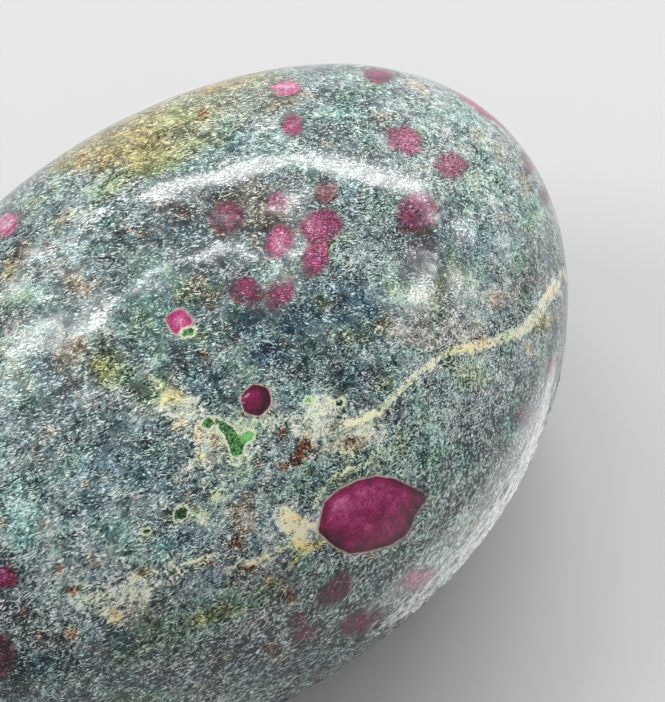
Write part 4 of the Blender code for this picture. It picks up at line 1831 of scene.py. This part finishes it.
    def with_rubies(
        self,
        bench: NodeBench,
        colour: Socket,
        felt: bpy.types.NodeOutputs,
        fray: Socket,
        place: Socket,
    ) -> Socket:
        """Lay the rubies over the rock, with the haze that the felt lays over them.

        Args:
            bench: where nodes are placed.
            colour: the colour below.
            felt: the felt's masks.
            fray: fine noise.
            place: the vector.

        Returns:
            The colour with the rubies on it.
        """
        tones = self.colours
        fleck = felt["Fleck"]
        haze = bench.kept("ruby_haze")
        depth = bench.kept("ruby_depth")
        cloud = bench.noise(place, scale=1.9, detail=4.0, roughness=0.65)
        # A ragged brown stain lies round the hazy rubies.
        wider = bench.maths("ADD", depth, 0.10)
        brown = FRAYED.mask(bench, wider, fleck, reach=0.45, softness=0.09)
        patchy = bench.spread(cloud, 0.44, 0.62, bottom=0.15, top=0.75)
        brown = bench.maths("MULTIPLY", brown, patchy)
        brown = bench.maths("MULTIPLY", brown, bench.spread(haze, 0.15, 0.35))
        colour = bench.blend(brown, colour, shade(tones.ruby_brown))
        # A thin pale rim runs round the clear ones.
        rim = FRAYED.mask(bench, bench.maths("ADD", depth, 0.08), fleck, reach=0.26, softness=0.03)
        rim = bench.maths("MULTIPLY", rim, bench.spread(haze, 0.30, 0.05, bottom=0.0, top=0.85))
        colour = bench.blend(rim, colour, shade(tones.ruby_rim))
        # A crystal is darker by its edge than in its middle.
        core = bench.spread(depth, 0.0, 0.42, bottom=-0.20, top=0.08)
        tone = bench.total(
            0.0, (bench.kept("ruby_pink"), 1.0), (bench.centred(cloud), 1.0), (core, 1.0)
        )
        gem = bench.ramp(
            tone,
            (0.05, shade(tones.ruby_dark)),
            (0.40, shade(tones.ruby)),
            (0.70, shade(tones.ruby_pink)),
            (1.00, shade(tones.ruby_pale)),
        )
        specks = bench.spread(fray, 0.38, 0.30, bottom=0.0, top=0.65)
        gem = bench.blend(specks, gem, shade(tones.ruby_dark))
        contrast = bench.spread(haze, 0.0, 0.6, bottom=0.5, top=2.4)
        felted = bench.maths("MULTIPLY", bench.centred(fleck), contrast)
        gem = bench.blend(1.0, gem, self.grey(bench, felted), Blend.LINEAR_LIGHT)
        soft = bench.total(0.02, (haze, 0.26))
        fraying = bench.total(0.10, (haze, 0.35))
        body = FRAYED.mask(bench, depth, fleck, reach=fraying, softness=soft)
        veil = bench.spread(haze, 0.0, 1.0, bottom=1.0, top=0.08)
        return bench.blend(bench.maths("MULTIPLY", body, veil), colour, gem)

    def grey(self, bench: NodeBench, change: Socket) -> Socket:
        """The linear light blend colour that lightens or darkens by a number.

        Args:
            bench: where nodes are placed.
            change: how much lighter, in display shares.

        Returns:
            The blend colour.
        """
        level = bench.node("ShaderNodeCombineXYZ")
        half = bench.total(0.5, (change, 0.5))
        for axis in range(3):
            bench.feed(level.inputs[axis], half)
        return level.outputs[0]

    def with_micas(self, bench: NodeBench, colour: Socket, fray: Socket, fleck: Socket) -> Socket:
        """Lay the green mica over the rock, each flake in a thin cream outline.

        Args:
            bench: where nodes are placed.
            colour: the colour below.
            fray: fine noise.
            fleck: the felt's level.

        Returns:
            The colour with the mica on it.
        """
        tones = self.colours
        depth = bench.kept("mica_depth")
        wider = bench.maths("ADD", depth, 0.10)
        fringe = FRAYED.mask(bench, wider, fleck, reach=0.26, softness=0.03)
        fringe = bench.maths("MULTIPLY", fringe, 0.92)
        colour = bench.blend(fringe, colour, shade(tones.mica_rim))
        flake = FRAYED.mask(bench, depth, fray, reach=0.30, softness=0.03)
        tone = bench.total(
            0.0,
            (bench.kept("mica_bright"), 1.0),
            (bench.centred(fray), 2.2),
            (bench.centred(fleck), 2.0),
        )
        body = bench.ramp(
            tone,
            (0.1, shade(tones.mica_dark)),
            (0.5, shade(tones.mica)),
            (1.0, shade(tones.mica_bright)),
        )
        return bench.blend(flake, colour, body)


# --------------------------------------------------------------------------------------
# Floor and light
# --------------------------------------------------------------------------------------


class LightShape(Enum):
    """The outline of an area light."""

    RECTANGLE = "RECTANGLE"
    ELLIPSE = "ELLIPSE"


def area_light(
    name: str, shape: LightShape, length: float, width: float, strength: float
) -> bpy.types.Object:
    """Make an area light that the camera doesn't see.

    Args:
        name: the light's name.
        shape: its outline.
        length: its size along its own first axis.
        width: its size along the second.
        strength: its brightness times its area.

    Returns:
        The light.
    """
    data = bpy.data.lights.new(name, "AREA")
    data.shape = shape.value
    data.size = length
    data.size_y = width
    data.energy = strength * math.pi
    light = linked(name, data)
    light.visible_camera = False
    return light


@dataclass(frozen=True)
class Softbox:
    """A soft rectangular light, placed by its direction from the stone."""

    name: str
    heading_deg: float
    elevation_deg: float
    distance: float
    width: float
    height: float
    brightness: float
    lean_deg: float = 0.0

    def build(self) -> bpy.types.Object:
        """Make the light, facing the stone.

        Returns:
            The light.
        """
        area = self.width * self.height
        strength = self.brightness * area
        light = area_light(self.name, LightShape.RECTANGLE, self.width, self.height, strength)
        heading = math.radians(self.heading_deg)
        level = VIEW.away * math.cos(heading) + VIEW.right * math.sin(heading)
        rise = math.radians(self.elevation_deg)
        direction = level * math.cos(rise) + Vector((0.0, 0.0, math.sin(rise)))
        low, high = CAD_BOX
        middle = (Vector(low) + Vector(high)) / 2.0
        light.location = middle + direction * self.distance
        lean = Quaternion((0.0, 0.0, 1.0), math.radians(self.lean_deg))
        light.rotation_euler = (direction.to_track_quat("Z", "Y") @ lean).to_euler()
        return light


# Each softbox: its heading and elevation in degrees, its distance, width and height, and its
# brightness.
SOFTBOXES = (
    Softbox("long back light", 16.6, 38.9, 0.42, 0.340, 0.072, 8.8, lean_deg=4.4),
    Softbox("glow of the back light", 16.6, 37.0, 0.43, 0.420, 0.130, 1.3, lean_deg=4.4),
    Softbox("end of the back light", -29.7, 30.3, 0.42, 0.014, 0.116, 9.0, lean_deg=23.9),
    Softbox("upper back light", 8.0, 58.3, 0.42, 0.110, 0.015, 20.0, lean_deg=-5.0),
    Softbox("left upper light", -23.5, 59.8, 0.42, 0.056, 0.028, 17.0, lean_deg=28.0),
    Softbox("left light", -37.8, 53.0, 0.42, 0.051, 0.062, 10.0, lean_deg=41.8),
    Softbox("right light", 58.1, 37.0, 0.42, 0.0170, 0.042, 10.0, lean_deg=-9.2),
    Softbox("glow of the right light", 54.0, 37.0, 0.43, 0.066, 0.046, 3.0, lean_deg=-9.2),
    Softbox("low right light", 61.5, 26.0, 0.42, 0.0120, 0.030, 15.0, lean_deg=-1.4),
    Softbox("broad back light", 25.0, 20.0, 0.55, 0.90, 0.26, 0.60),
    Softbox("key light", -84.0, 42.0, 0.60, 0.26, 0.26, 4.5),
)


@dataclass(frozen=True)
class FloorGlow:
    """A low light on the floor that the stone's lower edge mirrors."""

    name: str
    x: float
    y: float
    length: float
    width: float
    brightness: float
    turn_deg: float
    height: float = 0.4 * MM

    def build(self) -> bpy.types.Object:
        """Make the light, shining upwards.

        Returns:
            The light.
        """
        area = self.length * self.width * math.pi / 4.0
        strength = self.brightness * area
        light = area_light(self.name, LightShape.ELLIPSE, self.length, self.width, strength)
        light.location = (self.x, self.y, self.height)
        light.rotation_euler = (math.pi, 0.0, math.radians(self.turn_deg))
        return light


FLOOR_GLOWS = (
    FloorGlow("near floor glow", 11.4 * MM, -12.7 * MM, 21.0 * MM, 3.6 * MM, 1.10, 14.0),
    FloorGlow("far floor glow", 13.6 * MM, -17.0 * MM, 25.0 * MM, 7.0 * MM, 0.75, 12.0),
)


@dataclass(frozen=True)
class FloorFinish:
    """Matt pale grey."""

    name: str = "pale_floor"
    grey: float = 0.72
    roughness: float = 0.8
    specular: float = 0.2

    def build(self) -> bpy.types.Material:
        """Make the material.

        Returns:
            The material.
        """
        material = bpy.data.materials.new(self.name)
        material.use_nodes = True
        surface = material.node_tree.nodes["Principled BSDF"]
        surface.inputs["Base Color"].default_value = (*[self.grey] * 3, 1.0)
        surface.inputs["Roughness"].default_value = self.roughness
        surface.inputs["Specular IOR Level"].default_value = self.specular
        return material


@dataclass(frozen=True)
class Studio:
    """A plain pale floor under soft light."""

    floor_size: float = 3.0
    floor_finish: FloorFinish = FloorFinish()
    sky_strength: float = 0.42

    def floor(self) -> bpy.types.Object:
        """Make the floor.

        Returns:
            The floor.
        """
        mesh = bpy.data.meshes.new("floor")
        sheet = bmesh.new()
        bmesh.ops.create_grid(sheet, x_segments=1, y_segments=1, size=self.floor_size / 2.0)
        sheet.to_mesh(mesh)
        sheet.free()
        mesh.materials.append(self.floor_finish.build())
        return linked("floor", mesh)

    def sky(self) -> None:
        """Make the even light from all round."""
        world = bpy.data.worlds.new("studio")
        world.use_nodes = True
        background = world.node_tree.nodes["Background"]
        background.inputs["Color"].default_value = (1.0, 1.0, 1.0, 1.0)
        background.inputs["Strength"].default_value = self.sky_strength
        bpy.context.scene.world = world

    def build(self) -> bpy.types.Object:
        """Make the floor and every light.

        Returns:
            The floor.
        """
        floor = self.floor()
        self.sky()
        for light in SOFTBOXES + FLOOR_GLOWS:
            light.build()
        bpy.context.scene.view_settings.view_transform = "Standard"
        return floor


def main() -> None:
    """Build the stone, dress it and set the scene up around it."""
    logging.basicConfig(level=logging.INFO, format="%(name)s: %(message)s")
    VIEW.build()
    floor = Studio().build()
    stone = StoneSkin().build()
    LOG.info("stone skin: %d faces", len(stone.data.polygons))
    Markings(stone).build()
    rubies_seen = len(RUBIES) + 1
    LOG.info("markings: %d rubies, %d veins, %d blotches", rubies_seen, len(VEINS), len(BLOTCHES))
    stone.data.materials.clear()
    stone.data.materials.append(StoneFinish().build())
    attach(stone, BODY)
    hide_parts(STONE_NODE)
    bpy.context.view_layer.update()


if __name__ == "__main__":
    main()
